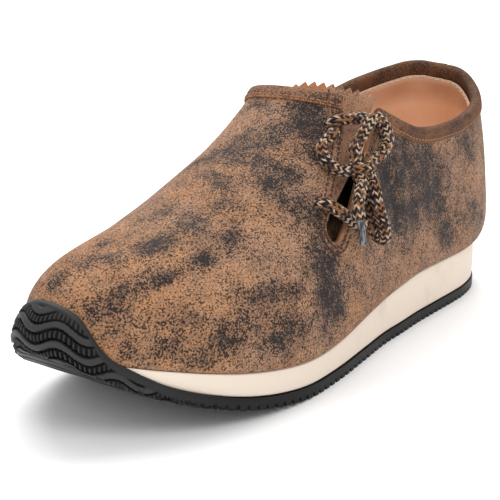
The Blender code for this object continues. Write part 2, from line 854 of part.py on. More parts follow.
def build_bumper(group):
    """Rubber wall round the toe with wavy ribs, its foot buried in the slab."""
    q, side, run = bumper_places()
    along = station(q)
    tall = column(BUMPER, "rise", along)
    thick = column(BUMPER, "thick", along)
    wave = BUMPER_WAVE * np.sin(2 * np.pi * run / BUMPER_WAVELENGTH)
    body = np.clip(thick / 2, 0, 1)
    levels = []
    for rib in range(5):
        for part, relief in ((0.0, 0.0), (0.28, 1.0), (0.72, 1.0)):
            levels.append((2.8 + BUMPER_RIB * (rib + part), relief))
    levels = levels[:-4]
    outer = []
    for number, (level, relief) in enumerate(levels):
        rise = np.minimum(level + wave, tall - 0.16 * (len(levels) - number))
        rise = np.maximum(rise, 1.7 + 0.5 * toe_bevel(along) + 0.1 * number)
        point, out = wall_both(q, side, rise)
        taper = 1 - BUMPER_TAPER * np.clip(1 - (tall - rise) / BUMPER_TAPER_RUN, 0, 1) * body
        bulge = SEAT + (thick + BUMPER_RELIEF * relief * body) * taper
        outer.append(point + out * bulge[:, None])
    top, out = wall_both(q, side, tall)
    inner = []
    for share in (1.0, 0.86, 0.7, 0.5, 0.0):
        level = BUMPER_FOOT + (tall - BUMPER_FOOT) * share
        point, aim = wall_both(q, side, level)
        inner.append(point + aim * SEAT)
    foot, aim = wall_both(q, side, np.full_like(q, BUMPER_FOOT))
    buried = foot - aim * 3.0
    sunk = buried.copy()
    buried[:, 2] = floor_line(buried[:, 0]) + BUMPER_FOOT - 0.4
    sunk[:, 2] = floor_line(sunk[:, 0]) + 1.9 + 0.5 * toe_bevel(along)
    lip = foot + aim * (0.3 * thick)[:, None]
    lip[:, 2] = floor_line(along) + 1.6 + 0.5 * toe_bevel(along)
    rings = [sunk, lip] + outer + [top + out * (SEAT + 0.4 * thick)[:, None]] + inner + [buried]
    return loft_solid("bumper", np.stack(rings, 1), group)


def wall_both(q, side, rise):
    """The covered toe wall on whichever side each place lies."""
    near, near_out = bumper_wall(q, 1, rise)
    far, far_out = bumper_wall(q, -1, rise)
    pick = (side > 0)[:, None]
    return np.where(pick, near, far), np.where(pick, near_out, far_out)


def build_outsole(group, cutters):
    """Slab and bumper as one moulded piece."""
    slab = build_slab(group)
    wall = as_cutter(build_bumper(cutters))
    joined = slab.modifiers.new("bumper", "BOOLEAN")
    joined.operation = "UNION"
    joined.solver = "EXACT"
    joined.object = wall
    return slab


def cord(name, points, radius, group):
    """Round cord along points, its ends closed."""
    data = bpy.data.curves.new(name, "CURVE")
    data.dimensions = "3D"
    data.bevel_depth = radius * MM
    data.bevel_resolution = 2
    data.use_fill_caps = True
    spline = data.splines.new("POLY")
    spline.points.add(len(points) - 1)
    for knot, p in zip(spline.points, to_metres(points)):
        knot.co = (*p, 1)
    made = bpy.data.objects.new(name, data)
    group.objects.link(made)
    return made


def build_knot(group):
    """Tied middle of the lace as one rounded lump."""
    centre = on_wall([KNOT_MIDDLE[0]], [KNOT_MIDDLE[1]], [KNOT_MIDDLE[2]])[0]
    foot = on_wall([KNOT_MIDDLE[0]], [KNOT_MIDDLE[1]], [0.0])[0]
    out = (centre - foot) / np.linalg.norm(centre - foot)
    run = np.cross((0, 0, 1.0), out) * -1
    run = run / np.linalg.norm(run)
    up = np.cross(out, run) * -1
    rings = []
    for polar in np.linspace(0.08, math.pi - 0.08, 8):
        turn = np.linspace(0, 2 * np.pi, 13)[:-1, None]
        flat = KNOT_RADII[0] * np.cos(turn) * run + KNOT_RADII[1] * np.sin(turn) * up
        rings.append(centre + math.sin(polar) * flat + math.cos(polar) * KNOT_RADII[2] * out)
    return loft_solid("lace_knot", rings, group)


for stale in list(bpy.data.objects):
    bpy.data.objects.remove(stale)

shoe = bpy.data.collections.new("left_sneaker")
tools = bpy.data.collections.new("cutters")
bpy.context.scene.collection.children.link(shoe)
bpy.context.scene.collection.children.link(tools)

finish(build_outsole(shoe, tools), material("outsole_rubber", (0.020, 0.020, 0.022), 0.75))
finish(build_midsole(shoe), material("midsole_foam", (0.80, 0.74, 0.65), 0.60))
finish(build_insole(shoe), material("insole_leather", (0.58, 0.36, 0.22), 0.70))
finish(build_upper(shoe, tools), material("upper_leather", (0.22, 0.12, 0.065), 0.80))
finish(build_binding(shoe), material("binding_leather", (0.14, 0.075, 0.042), 0.80))
finish(build_tongue(shoe), material("tongue_leather", (0.28, 0.15, 0.08), 0.85))

lace_cloth = material("lace_cloth", (0.13, 0.085, 0.07), 0.85)
for lace_name, route in ROUTES.items():
    finish(cord(lace_name, smooth_route(route, LACE_STEP), LACE_RADIUS, shoe), lace_cloth)
finish(build_knot(shoe), lace_cloth)
finish(cord("lace_aglet", smooth_route(AGLET, LACE_STEP), AGLET_RADIUS, shoe),
       material("aglet_plastic", (0.45, 0.45, 0.45), 0.30))
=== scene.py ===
"""Looks of a left low sneaker: worn leather upper with side lacing, cream midsole, black ribbed outsole.

Places are in millimetres from the back of the heel along the sole, from the middle of the heel across
it (plus is the outer side) and upward, the floor at FLOOR; meshes are in metres about the shoe's middle.
"""
import json
import math

import bmesh
import bpy
import numpy as np
from mathutils import Vector
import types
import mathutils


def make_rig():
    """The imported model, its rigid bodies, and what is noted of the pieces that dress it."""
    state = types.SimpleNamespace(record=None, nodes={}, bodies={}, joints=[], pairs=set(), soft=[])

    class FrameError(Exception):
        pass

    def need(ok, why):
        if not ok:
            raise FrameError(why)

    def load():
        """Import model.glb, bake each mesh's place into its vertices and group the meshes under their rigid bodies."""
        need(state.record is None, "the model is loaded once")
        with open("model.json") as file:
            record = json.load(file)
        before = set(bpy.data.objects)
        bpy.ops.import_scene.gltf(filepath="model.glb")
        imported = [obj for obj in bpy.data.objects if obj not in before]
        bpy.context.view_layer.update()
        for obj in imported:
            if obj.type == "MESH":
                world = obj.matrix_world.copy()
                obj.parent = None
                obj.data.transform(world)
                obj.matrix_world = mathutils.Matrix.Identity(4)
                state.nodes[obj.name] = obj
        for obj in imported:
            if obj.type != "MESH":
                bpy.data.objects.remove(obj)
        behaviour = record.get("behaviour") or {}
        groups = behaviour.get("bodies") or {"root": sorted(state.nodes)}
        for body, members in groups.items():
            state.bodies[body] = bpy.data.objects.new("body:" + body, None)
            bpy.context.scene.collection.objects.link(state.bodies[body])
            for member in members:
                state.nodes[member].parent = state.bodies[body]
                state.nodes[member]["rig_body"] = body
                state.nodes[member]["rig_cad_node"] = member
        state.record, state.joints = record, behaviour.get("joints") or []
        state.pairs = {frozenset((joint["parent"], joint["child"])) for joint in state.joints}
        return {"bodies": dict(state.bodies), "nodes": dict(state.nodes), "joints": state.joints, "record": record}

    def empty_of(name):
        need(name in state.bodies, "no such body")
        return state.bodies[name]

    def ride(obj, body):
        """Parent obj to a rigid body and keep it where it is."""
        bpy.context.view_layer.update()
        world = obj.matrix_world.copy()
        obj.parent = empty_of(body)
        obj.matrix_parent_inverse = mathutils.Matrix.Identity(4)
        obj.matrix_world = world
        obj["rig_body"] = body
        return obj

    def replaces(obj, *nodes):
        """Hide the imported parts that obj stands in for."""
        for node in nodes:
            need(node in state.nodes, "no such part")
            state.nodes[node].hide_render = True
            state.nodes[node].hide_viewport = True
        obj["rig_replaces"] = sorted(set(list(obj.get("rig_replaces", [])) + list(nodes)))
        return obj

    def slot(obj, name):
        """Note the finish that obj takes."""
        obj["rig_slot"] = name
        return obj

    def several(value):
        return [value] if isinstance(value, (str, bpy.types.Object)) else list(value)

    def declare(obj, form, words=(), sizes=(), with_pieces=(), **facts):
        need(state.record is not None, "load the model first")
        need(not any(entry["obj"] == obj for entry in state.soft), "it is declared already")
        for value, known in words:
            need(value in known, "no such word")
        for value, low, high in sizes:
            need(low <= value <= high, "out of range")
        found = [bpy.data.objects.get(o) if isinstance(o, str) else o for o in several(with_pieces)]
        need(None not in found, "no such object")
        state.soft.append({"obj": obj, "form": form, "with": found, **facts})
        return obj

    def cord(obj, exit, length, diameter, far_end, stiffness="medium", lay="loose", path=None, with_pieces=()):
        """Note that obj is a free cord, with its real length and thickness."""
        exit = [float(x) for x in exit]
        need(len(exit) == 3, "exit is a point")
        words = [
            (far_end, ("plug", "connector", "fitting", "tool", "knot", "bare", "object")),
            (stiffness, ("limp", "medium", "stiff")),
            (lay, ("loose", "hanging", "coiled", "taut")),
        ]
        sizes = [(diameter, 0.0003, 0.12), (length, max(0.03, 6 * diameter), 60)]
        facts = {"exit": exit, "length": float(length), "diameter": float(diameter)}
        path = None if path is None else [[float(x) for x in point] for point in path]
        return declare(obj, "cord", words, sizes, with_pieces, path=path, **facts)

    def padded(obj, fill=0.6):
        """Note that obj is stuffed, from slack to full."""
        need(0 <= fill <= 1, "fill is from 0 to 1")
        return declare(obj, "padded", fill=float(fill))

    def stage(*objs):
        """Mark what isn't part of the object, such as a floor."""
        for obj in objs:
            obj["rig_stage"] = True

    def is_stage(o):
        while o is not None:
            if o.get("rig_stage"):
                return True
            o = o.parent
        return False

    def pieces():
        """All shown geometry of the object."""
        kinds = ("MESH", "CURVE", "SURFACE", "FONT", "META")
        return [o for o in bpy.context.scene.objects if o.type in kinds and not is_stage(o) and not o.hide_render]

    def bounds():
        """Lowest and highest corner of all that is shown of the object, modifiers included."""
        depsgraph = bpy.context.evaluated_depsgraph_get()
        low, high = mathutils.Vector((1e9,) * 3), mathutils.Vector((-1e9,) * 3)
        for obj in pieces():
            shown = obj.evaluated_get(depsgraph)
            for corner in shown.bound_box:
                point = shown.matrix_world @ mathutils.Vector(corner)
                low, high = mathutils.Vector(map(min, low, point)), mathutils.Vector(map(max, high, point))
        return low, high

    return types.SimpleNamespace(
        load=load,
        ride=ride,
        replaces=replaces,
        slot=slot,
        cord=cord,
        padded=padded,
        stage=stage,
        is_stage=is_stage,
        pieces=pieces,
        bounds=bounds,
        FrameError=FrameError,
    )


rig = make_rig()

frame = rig.load()
cad_box = [list(corner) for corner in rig.bounds()]

# Insole: a thin foam cushion covered with light tan leather, cut to the bottom of the last
# and laid on the midsole inside the upper.
MM = 0.001
PER_MM = 1000.0
WELD = 0.00002
FLOOR = -1.0
MIDDLE = np.array([130.10, 2.34, FLOOR])
LENGTH = 262.0
HEEL_ROUND = 45.0
HEEL_POWER = 2.0
TOE_ROUND = 86.0
TOE_POWER = 2.15
SPRING_START = 165.0
SPRING = 24.0
SPRING_POWER = 2.3
INSOLE_BOTTOM = 0.1
INSOLE_TOP = 3.0
INSOLE_INSET = 3.0
INSOLE_RIM = 1.0
INSOLE_TAN = (0.58, 0.36, 0.22)
INSOLE_DARK = (0.46, 0.27, 0.16)
PLAN = (
    "along half_width centre",
    (0, 31.0, 0.0),
    (30, 31.2, 0.2),
    (55, 31.8, 1.2),
    (82, 31.5, 3.0),
    (109, 32.5, 4.5),
    (136, 36.5, 4.5),
    (163, 42.0, 3.4),
    (190, 45.5, 2.2),
    (215, 46.0, 1.6),
    (240, 44.0, 1.0),
    (262, 41.0, 0.0),
)
SOLE = (
    "along thick",
    (0, 21.9),
    (80, 22.2),
    (130, 18.1),
    (175, 14.0),
    (205, 13.6),
    (222, 12.8),
    (236, 11.4),
    (246, 9.7),
    (255, 8.0),
    (262, 7.2),
)


def column(table, name, at):
    """Value of a named column between its rows: cubic pieces whose slopes are harmonic means, so that
    the curve never passes beyond the rows' own values."""
    names = table[0].split()
    rows = np.array(table[1:], float)
    key = rows[:, 0]
    value = rows[:, names.index(name)]
    step = np.diff(key)
    slope = np.diff(value) / step
    before = slope[:-1]
    after = slope[1:]
    turn = before * after <= 0
    heavy = 2 * step[1:] + step[:-1]
    light = step[1:] + 2 * step[:-1]
    mean = (heavy + light) / (heavy / np.where(turn, 1, before) + light / np.where(turn, 1, after))
    grade = np.concatenate([slope[:1], np.where(turn, 0, mean), slope[-1:]])
    at = np.clip(at, key[0], key[-1])
    i = np.clip(np.searchsorted(key, at) - 1, 0, len(step) - 1)
    t = (at - key[i]) / step[i]
    u = 1 - t
    start = value[i] * (1 + 2 * t) * u * u + grade[i] * step[i] * t * u * u
    end = value[i + 1] * (3 - 2 * t) * t * t - grade[i + 1] * step[i] * t * t * u
    return start + end


def rounding(left, length, power):
    """Share of the full width at a distance left from a rounded end, as a superellipse."""
    return (1 - (1 - np.clip(left / length, 0, 1)) ** power) ** (1 / power)


def plan(along):
    """Middle line and half width of the sole's outline: the table's width, rounded off at both ends."""
    half = column(PLAN, "half_width", along)
    half = half * rounding(along, HEEL_ROUND, HEEL_POWER)
    half = half * rounding(LENGTH - along, TOE_ROUND, TOE_POWER)
    return column(PLAN, "centre", along), half


def floor_line(along):
    """Underside of the sole: flat to the ball, then lifted by a power of the distance past it."""
    lift = np.clip(along - SPRING_START, 0, None) / (LENGTH - SPRING_START)
    return FLOOR + SPRING * lift ** SPRING_POWER


def feather(along):
    """Top of the midsole: the underside plus the sole's thickness there."""
    return floor_line(along) + column(SOLE, "thick", along)


def station(q):
    """Distance from the heel for a place q from 0 to 1: a half cosine, closer together at both ends."""
    return LENGTH * (0.5 - 0.5 * np.cos(np.pi * q))


def soft_step(value, low, high):
    """0 below low, 1 above high, and the cubic 3t2 - 2t3 between."""
    t = np.clip((value - low) / (high - low), 0, 1)
    return t * t * (3 - 2 * t)


def quads(rows, columns, start=0, close_rows=False, close_columns=False):
    """Corner numbers of a grid's faces; a closed direction joins its last line to its first."""
    number = start + np.arange(rows * columns).reshape(rows, columns)
    if close_rows:
        number = np.concatenate([number, number[:1]])
    if close_columns:
        number = np.concatenate([number, number[:, :1]], 1)
    corners = [number[:-1, :-1], number[:-1, 1:], number[1:, 1:], number[1:, :-1]]
    return np.stack(corners, -1).reshape(-1, 4)


def tube_faces(rows, columns):
    """Corner numbers of a tube of closed rings, with one face over each end."""
    last = (rows - 1) * columns
    ends = [list(range(columns)), list(range(last, last + columns))]
    return quads(rows, columns, close_columns=True).tolist() + ends


def new_piece(name, points, faces, notes=None, sharp=60):
    """Object at the origin from points in millimetres: doubled points are joined, faces turned outward;
    notes are values or colours kept at each point for the finish."""
    mesh = bpy.data.meshes.new(name)
    corners = faces.tolist() if isinstance(faces, np.ndarray) else faces
    mesh.from_pydata(((np.asarray(points, float) - MIDDLE) * MM).tolist(), [], corners)
    for note, value in (notes or {}).items():
        kind, field = ("FLOAT_COLOR", "color") if np.ndim(value) == 2 else ("FLOAT", "value")
        kept = mesh.attributes.new(note, kind, "POINT")
        kept.data.foreach_set(field, np.ravel(value).astype(np.float32))
    shell = bmesh.new()
    shell.from_mesh(mesh)
    bmesh.ops.remove_doubles(shell, verts=shell.verts, dist=WELD)
    bmesh.ops.dissolve_degenerate(shell, edges=shell.edges, dist=WELD)
    bmesh.ops.recalc_face_normals(shell, faces=shell.faces)
    shell.to_mesh(mesh)
    shell.free()
    mesh.shade_smooth()
    mesh.set_sharp_from_angle(angle=math.radians(sharp))
    made = bpy.data.objects.new(name, mesh)
    bpy.context.scene.collection.objects.link(made)
    return made


def put_on(made, slot, finish, *nodes):
    """The piece rides with the shoe, takes a slot's finish, or its list of finishes, and stands for its
    solids."""
    made.data.materials.clear()
    for one in finish if isinstance(finish, list) else [finish]:
        made.data.materials.append(one)
    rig.ride(made, "root")
    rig.slot(made, slot)
    if nodes:
        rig.replaces(made, *nodes)


def sole_layer(name, top, bottom, grow, rim, bulge):
    """Layer with the sole's outline: at each length a section whose four corners are quarter circles of
    radius rim and whose sides swell by bulge; the outline is moved out by grow square to itself."""
    along = station(np.linspace(0, 1, 260))
    centre, half = plan(along)
    ahead = np.clip(np.gradient(half, along), -6, 6)
    slope = 1 / np.sqrt(1 + ahead ** 2)
    wide = np.clip(half + grow * slope, 0.05, None)
    shift = along - ahead * slope * grow
    x = np.clip(shift, shift[1] - 3, shift[-2] + 3)
    arc = np.linspace(0, np.pi / 2, 6)
    rise = np.linspace(0, 1, 6)[1:-1]
    flat = np.linspace(1, -1, 15)[1:-1]
    inset = np.concatenate([rim * (1 - np.sin(arc)), -bulge * np.sin(np.pi * rise), rim * (1 - np.cos(arc))])
    level = np.concatenate([np.ones(6), 1 - rise, np.zeros(6)])
    drop = np.concatenate([-rim * (1 - np.cos(arc)), (2 * rise - 1) * rim, rim * (1 - np.sin(arc))])
    across = np.concatenate([np.ones(len(inset)), flat, -np.ones(len(inset)), -flat])
    inset = np.concatenate([inset, 0 * flat + rim, inset[::-1], 0 * flat + rim])
    level = np.concatenate([level, 0 * flat, level[::-1], 0 * flat + 1])
    drop = np.concatenate([drop, 0 * flat, drop[::-1], 0 * flat])
    width = wide[:, None] - np.minimum(inset, 0.6 * wide[:, None])
    high = top(along)[:, None]
    low = bottom(along)[:, None]
    y = centre[:, None] + across * width
    z = low + level * (high - low) + drop
    points = np.stack([np.broadcast_to(x[:, None], y.shape), y, z], -1)
    return new_piece(name, points.reshape(-1, 3), tube_faces(*y.shape))


class Shade:
    """A node's output; sums, products and powers of shades and numbers add Math nodes."""

    def __init__(self, tree, socket=None):
        self.tree = tree
        self.socket = socket

    def node(self, kind, settings=None, sockets=None, out=0):
        """New node of a type: its settings first, then its sockets' values or links; gives one output."""
        made = self.tree.nodes.new("ShaderNode" + kind)
        for name, value in (settings or {}).items():
            setattr(made, name, value)
        for name, value in (sockets or {}).items():
            if isinstance(value, Shade):
                self.tree.links.new(value.socket, made.inputs[name])
            else:
                made.inputs[name].default_value = value
        return Shade(self.tree, made.outputs[out])

    def math(self, operation, *terms):
        """One Math node on its terms in order."""
        return self.node("Math", {"operation": operation}, dict(enumerate(terms)))

    def __add__(self, other):
        return self.math("ADD", self, other)

    def __sub__(self, other):
        return self.math("SUBTRACT", self, other)

    def __rsub__(self, other):
        return self.math("SUBTRACT", other, self)

    def __mul__(self, other):
        return self.math("MULTIPLY", self, other)

    def __pow__(self, other):
        return self.math("POWER", self, other)

    __radd__ = __add__

    def step(self, low, high):
        """0 to 1 as the shade goes from low to high, eased at both ends."""
        limits = {"Value": self, "From Min": low, "From Max": high}
        return self.node("MapRange", {"interpolation_type": "SMOOTHSTEP"}, limits)

    def mix(self, first, second):
        """Colour between two by this share."""
        ends = [one if isinstance(one, Shade) else (*one, 1) for one in (first, second)]
        return self.node("Mix", {"data_type": "RGBA"}, {0: self, 6: ends[0], 7: ends[1]}, out=2)

    def noise(self, per_mm, detail=2.0, rough=0.5, warp=0.0):
        """Cloudy value about a half, with about per_mm lumps to the millimetre, read at this place."""
        sockets = {"Vector": self, "Scale": per_mm * PER_MM, "Detail": detail, "Roughness": rough}
        return self.node("TexNoise", {}, {**sockets, "Distortion": warp})

    def stretched(self, x, y, z):
        """The same place with its axes scaled."""
        return self.node("Mapping", {}, {"Vector": self, "Scale": (x, y, z)})

    def axis(self, name):
        """One coordinate of this place, in metres."""
        return self.node("SeparateXYZ", {}, {0: self}, out=name)

    def kept(self, note, out="Fac"):
        """Value or colour kept at the mesh's points."""
        return self.node("Attribute", {"attribute_name": note}, out=out)


def new_finish(name, constants):
    """Material with one Principled shader, whose constants are set on its own sockets; gives the
    material, the place on the object and a function that links what changes over the surface."""
    made = bpy.data.materials.new(name)
    made.use_nodes = True
    body = made.node_tree.nodes["Principled BSDF"]
    for socket, value in constants.items():
        body.inputs[socket].default_value = value

    def link(socket, shade):
        made.node_tree.links.new(shade.socket, body.inputs[socket])

    return made, Shade(made.node_tree).node("TexCoord", out="Object"), link


def relief(height, deep_mm, strength=1.0):
    """Normal bent by a height, whose full range is deep_mm."""
    return height.node("Bump", {}, {"Strength": strength, "Distance": deep_mm * MM, "Height": height})


insole = sole_layer(
    "leather_insole",
    lambda along: feather(along) + INSOLE_TOP,
    lambda along: feather(along) + INSOLE_BOTTOM,
    grow=-INSOLE_INSET,
    rim=INSOLE_RIM,
    bulge=0.0,
)
insole_finish, at, link = new_finish("insole_leather", {"Roughness": 0.7, "Specular IOR Level": 0.3})
pores = at.noise(1.6, 3.0)
worn = at.noise(0.03, 3.0)
link("Base Color", (worn * 0.7 + pores * 0.5).step(0.35, 0.85).mix(INSOLE_DARK, INSOLE_TAN))
link("Normal", relief(pores, 0.25, 0.5))
put_on(insole, "insole", insole_finish, "insole")
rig.padded(insole, fill=0.9)

# Upper: one piece of vegetable-tanned leather drawn over the last, its worn tan face rubbed through
# to dark patches; a slit with two pairs of punched lace holes is cut in its outer side.
POLE_HEEL = 34.0
POLE_TOE = 50.0
UPPER_SQUARE = 0.12
WALL = 2.2
CROWN = (
    "along ridge power overhang tuck",
    (0, 125.0, 2.12, 6.5, 12),
    (40, 135.0, 2.40, 4.5, 11),
    (80, 141.0, 2.50, 3.5, 10),
    (105, 135.0, 2.40, 3.0, 9),
    (125, 117.0, 2.30, 3.0, 9),
    (140, 101.0, 2.20, 3.0, 9),
    (155, 88.6, 2.15, 3.0, 9),
    (175, 77.0, 2.10, 2.5, 9),
    (200, 66.6, 2.10, 2.0, 9),
    (225, 60.1, 2.20, 1.0, 8),
    (245, 57.8, 2.70, 0.3, 8),
    (262, 55.5, 3.30, 0.2, 8),
)
COLLAR = (
    "along lateral medial",
    (0, 99.8, 95.5),
    (4.53, 97.2, 97.2),
    (7, 95.5, 98.2),
    (9, 93.8, 98.7),
    (12, 91.3, 98.6),
    (20, 87.4, 96.4),
    (32, 84.0, 93.2),
    (46, 81.6, 90.2),
    (60, 79.9, 87.3),
    (75, 79.8, 84.8),
    (90, 81.0, 84.0),
    (105, 85.6, 85.0),
    (115, 90.3, 88.6),
    (125, 95.0, 94.0),
    (132, 97.6, 97.4),
    (140, 100.2, 100.2),
    (152, 104.0, 104.0),
)
THROAT_TOP = (124.4, 90.3)
THROAT_LEAN = math.radians(46.7)
DOWN_SLIT = np.array([math.cos(THROAT_LEAN), 0.0, -math.sin(THROAT_LEAN)])
THROAT_END = 50.5
THROAT = (
    "down half_width centre",
    (-18, 8.8, 8.5),
    (-6, 8.2, 4.8),
    (3, 6.9, 3.4),
    (12, 5.8, 1.8),
    (22, 5.2, 0.9),
    (40, 4.9, 0.2),
    (50.5, 4.2, 0.9),
)
SLIT_BLADE = (12.0, 60.0)
EYELET_RADIUS = 2.4
EYELET_PUNCH = (-5.0, 4.0)
EYELETS = (
    "down across",
    (11.7, 11.9),
    (44.8, 9.6),
    (2.0, -9.4),
    (40.5, -10.2),
)
# Soft folds: deep is the height of a ridge, or minus the depth of a trough
FOLDS_OUTER = (
    "along height long wide turn deep",
    (196, 46, 13, 5, 62, -0.45),
    (186, 48, 13, 5, 66, 0.35),
    (206, 42, 12, 5, 58, 0.30),
    (170, 58, 14, 6, 70, -0.30),
    (118, 60, 22, 4, 72, -0.50),
    (110, 58, 24, 4, 78, 0.40),
    (101, 60, 20, 4, 80, -0.35),
    (78, 52, 22, 6, 85, -0.30),
    (60, 45, 26, 8, 60, 0.35),
    (30, 50, 22, 6, 88, -0.35),
    (20, 40, 16, 7, 50, 0.40),
    (150, 36, 30, 7, 12, -0.35),
    (232, 40, 16, 7, 30, 0.30),
)
FOLDS_INNER = (
    "along height long wide turn deep",
    (198, 44, 13, 5, 60, -0.45),
    (187, 46, 13, 5, 64, 0.35),
    (120, 56, 24, 5, 74, -0.45),
    (104, 52, 22, 5, 80, 0.35),
    (60, 50, 22, 7, 75, -0.35),
    (28, 48, 22, 6, 85, -0.30),
)
SMUDGES_OUTER = (
    "along height long wide turn dark",
    (242, 36, 20, 9, 4, 0.18),
    (102, 61, 22, 14, 5, 0.38),
    (112, 60, 14, 9, 75, 0.55),
    (181, 43, 8, 10, 5, 0.26),
    (112, 40, 14, 7, 5, 0.24),
    (118, 63, 13, 5, 85, 0.80),
    (84, 55, 9, 7, 60, 0.35),
    (162, 83, 14, 12, 5, 0.40),
    (152, 89, 9, 8, 10, 0.24),
    (169, 40, 18, 8, 85, 0.58),
    (56, 73, 10, 5, 10, 0.55),
    (222, 30, 22, 8, 2, 0.08),
    (60, 38, 34, 10, 4, 0.30),
    (24, 62, 10, 26, 4, 0.22),
    (160, 28, 26, 7, 4, 0.16),
    (39, 37, 11, 7, 50, 0.60),
    (46, 67, 13, 8, 35, 0.40),
    (65, 33, 8, 4, 45, 0.70),
    (72, 35, 10, 5, 50, 0.60),
    (78, 50, 12, 8, 55, 0.75),
    (88, 70, 9, 6, 55, 0.60),
    (93, 61, 9, 6, 50, 0.60),
    (101, 52, 11, 6, 35, 0.75),
    (103, 75, 8, 6, 30, 0.85),
    (107, 69, 10, 6, 55, 0.85),
    (113, 52, 10, 6, 35, 0.75),
    (120, 57, 8, 6, 55, 0.90),
    (122, 68, 11, 8, 65, 1.00),
    (130, 60, 9, 5, 60, 0.65),
    (141, 47, 6, 4, 40, 0.35),
    (144, 94, 7, 5, 60, 0.95),
    (147, 88, 6, 5, -75, 0.98),
    (149, 94, 7, 4, 80, 0.60),
    (152, 88, 6, 4, 90, 0.45),
    (155, 78, 5, 4, -75, 0.60),
    (156, 38, 6, 4, 45, 0.40),
    (164, 83, 9, 6, 90, 0.60),
    (166, 74.5, 4, 4.5, -80, 1.00),
    (167, 37, 6, 5, 80, 0.85),
    (169, 46, 9, 4, 5, 0.80),
    (169, 62, 8, 7, 60, 0.92),
    (170, 31, 8, 6, 45, 0.95),
    (170, 78, 7, 5, 90, 0.60),
    (174, 72.5, 5, 4, 65, 0.75),
    (176, 67, 5, 3, 60, 0.40),
    (185, 72, 9, 5, -75, 0.50),
    (189, 39, 5, 3, 5, 0.50),
    (190, 30, 7, 5, 45, 0.50),
    (191, 68, 6, 4, 80, 0.35),
    (196, 41, 6, 4, 5, 0.45),
    (202, 57, 5, 4, 10, 0.80),
    (203, 26, 9, 5, 5, 0.58),
    (208, 62, 6, 5, -90, 0.55),
    (209, 34, 6, 4, 40, 0.50),
    (209, 41, 7, 4, 10, 0.55),
    (209, 65, 8, 4, 25, 0.60),
    (216, 53, 6, 4, 5, 0.90),
    (221, 32, 10, 7, -5, 0.72),
    (226, 58, 10, 4, 10, 0.90),
    (230, 26, 5, 3, 5, 0.45),
    (233, 39, 5, 4, 5, 0.35),
    (236, 50, 10, 4, 8, 0.97),
    (236, 58, 8, 4, 12, 0.55),
    (238, 31, 4, 3, 5, 0.35),
    (243, 30, 3, 3, -10, 0.60),
    (243, 55, 6, 3, 20, 0.35),
    (250, 31, 3, 3, -5, 0.50),
    (253, 43, 8, 5, 45, 0.60),
)
SMUDGES_INNER = (
    "along height long wide turn dark",
    (146, 95, 9, 5, 85, 0.55),
    (173, 76, 6, 11, -5, 0.50),
    (246, 55, 8, 4, -30, 0.40),
    (255, 49, 7, 5, -45, 0.50),
    (58, 66, 10, 7, 60, 0.70),
    (136, 72, 10, 7, 60, 0.80),
)
INNER_MOVE = (7, 3, 0, 0, 25, 0)
LOW_SHARE = 0.62
# Painted shade: the leather's inside face is darkened evenly by this share, for the shadow inside the shoe
INSIDE_PAINTED_SHADE = 0.35
LEATHER_TAN = (0.435, 0.250, 0.155)
LEATHER_RUST = (0.47, 0.233, 0.111)
LEATHER_BROWN = (0.26, 0.142, 0.085)
LEATHER_UMBER = (0.022, 0.017, 0.016)
LEATHER_VEIL = (0.080, 0.064, 0.056)
LEATHER_DARK = (0.019, 0.020, 0.024)
RAW_EDGE = (0.50, 0.215, 0.085)


def surface(q, tau):
    """Outside of the upper. q runs from heel to toe; tau from the outer edge over the spine to the inner.
    Each section rises from the sole's outline to the spine as a superellipse and swells over the edge by
    the overhang, rounding in again where it meets the sole."""
    q, tau = np.broadcast_arrays(np.asarray(q, float), np.asarray(tau, float))
    past = (q < 0) | (q > 1)
    tau = np.where(past, np.pi - tau, tau)
    q = np.where(q < 0, -q, np.where(q > 1, 2 - q, q))
    side = np.where(tau <= np.pi / 2, 1.0, -1.0)
    t = np.clip(np.minimum(tau, np.pi - tau), 0, np.pi / 2)
    along = station(q)
    centre, half = plan(along)
    top = POLE_HEEL + (LENGTH - POLE_HEEL - POLE_TOE) * along / LENGTH
    top_centre = column(PLAN, "centre", top)
    dx = along - top
    dy = centre + side * half - top_centre
    power = column(CROWN, "power", along)
    reach = np.clip(np.cos(t), 0, 1) ** (2 / power)
    rise = np.sin(t) ** (2 / power)
    x = top + dx * reach
    height = rise * (column(CROWN, "ridge", x) - feather(x))
    inset = 1 - np.clip(height / column(CROWN, "tuck", along), 0, 1)
    swell = column(CROWN, "overhang", along) * np.sqrt(1 - inset ** 2)
    reach = reach * (1 + swell / np.hypot(dx, dy))
    x = top + dx * reach
    z = feather(x) + rise * (column(CROWN, "ridge", x) - feather(x))
    return np.stack([x, top_centre + dy * reach, z], -1)


def unit(vectors):
    """Vectors of length one."""
    return vectors / np.linalg.norm(vectors, axis=-1, keepdims=True)


def normal(q, tau):
    """Outward normal: the cross product of small steps up and along; on the spine it is read beside it."""
    d = 0.002
    tau = np.where(np.abs(tau - np.pi / 2) < d, np.pi / 2 - 2 * d, tau)
    across = surface(q + d, tau) - surface(q - d, tau)
    up = surface(q, tau + d) - surface(q, tau - d)
    return unit(np.cross(up, across))


def above_collar(q, t, side):
    """True where a section's point is over the collar's height on that side."""
    p = surface(q, t if side == "lateral" else np.pi - t)
    return p[..., 2] > column(COLLAR, side, p[..., 0])


def collar_front():
    """Place q of the section that meets the collar's cut on the spine."""
    q = np.linspace(0.4, 0.7, 3001)
    return q[above_collar(q, np.full_like(q, np.pi / 2), "lateral")].max()


FRONT = collar_front()


def first_over(over, shape, times):
    """Smallest rise, up to a right angle, for which over is true, found by halving."""
    low = np.zeros(shape)
    high = np.full(shape, np.pi / 2)
    for _ in range(times):
        middle = (low + high) / 2
        hit = over(middle)
        high = np.where(hit, middle, high)
        low = np.where(hit, low, middle)
    return high


def collar_tau(q, side):
    """Rise of each section at the collar's cut; a right angle where the section is whole."""
    cut = first_over(lambda t: above_collar(q, t, side), q.shape, 40)
    return np.where(q > FRONT - 1e-6, np.pi / 2, cut)


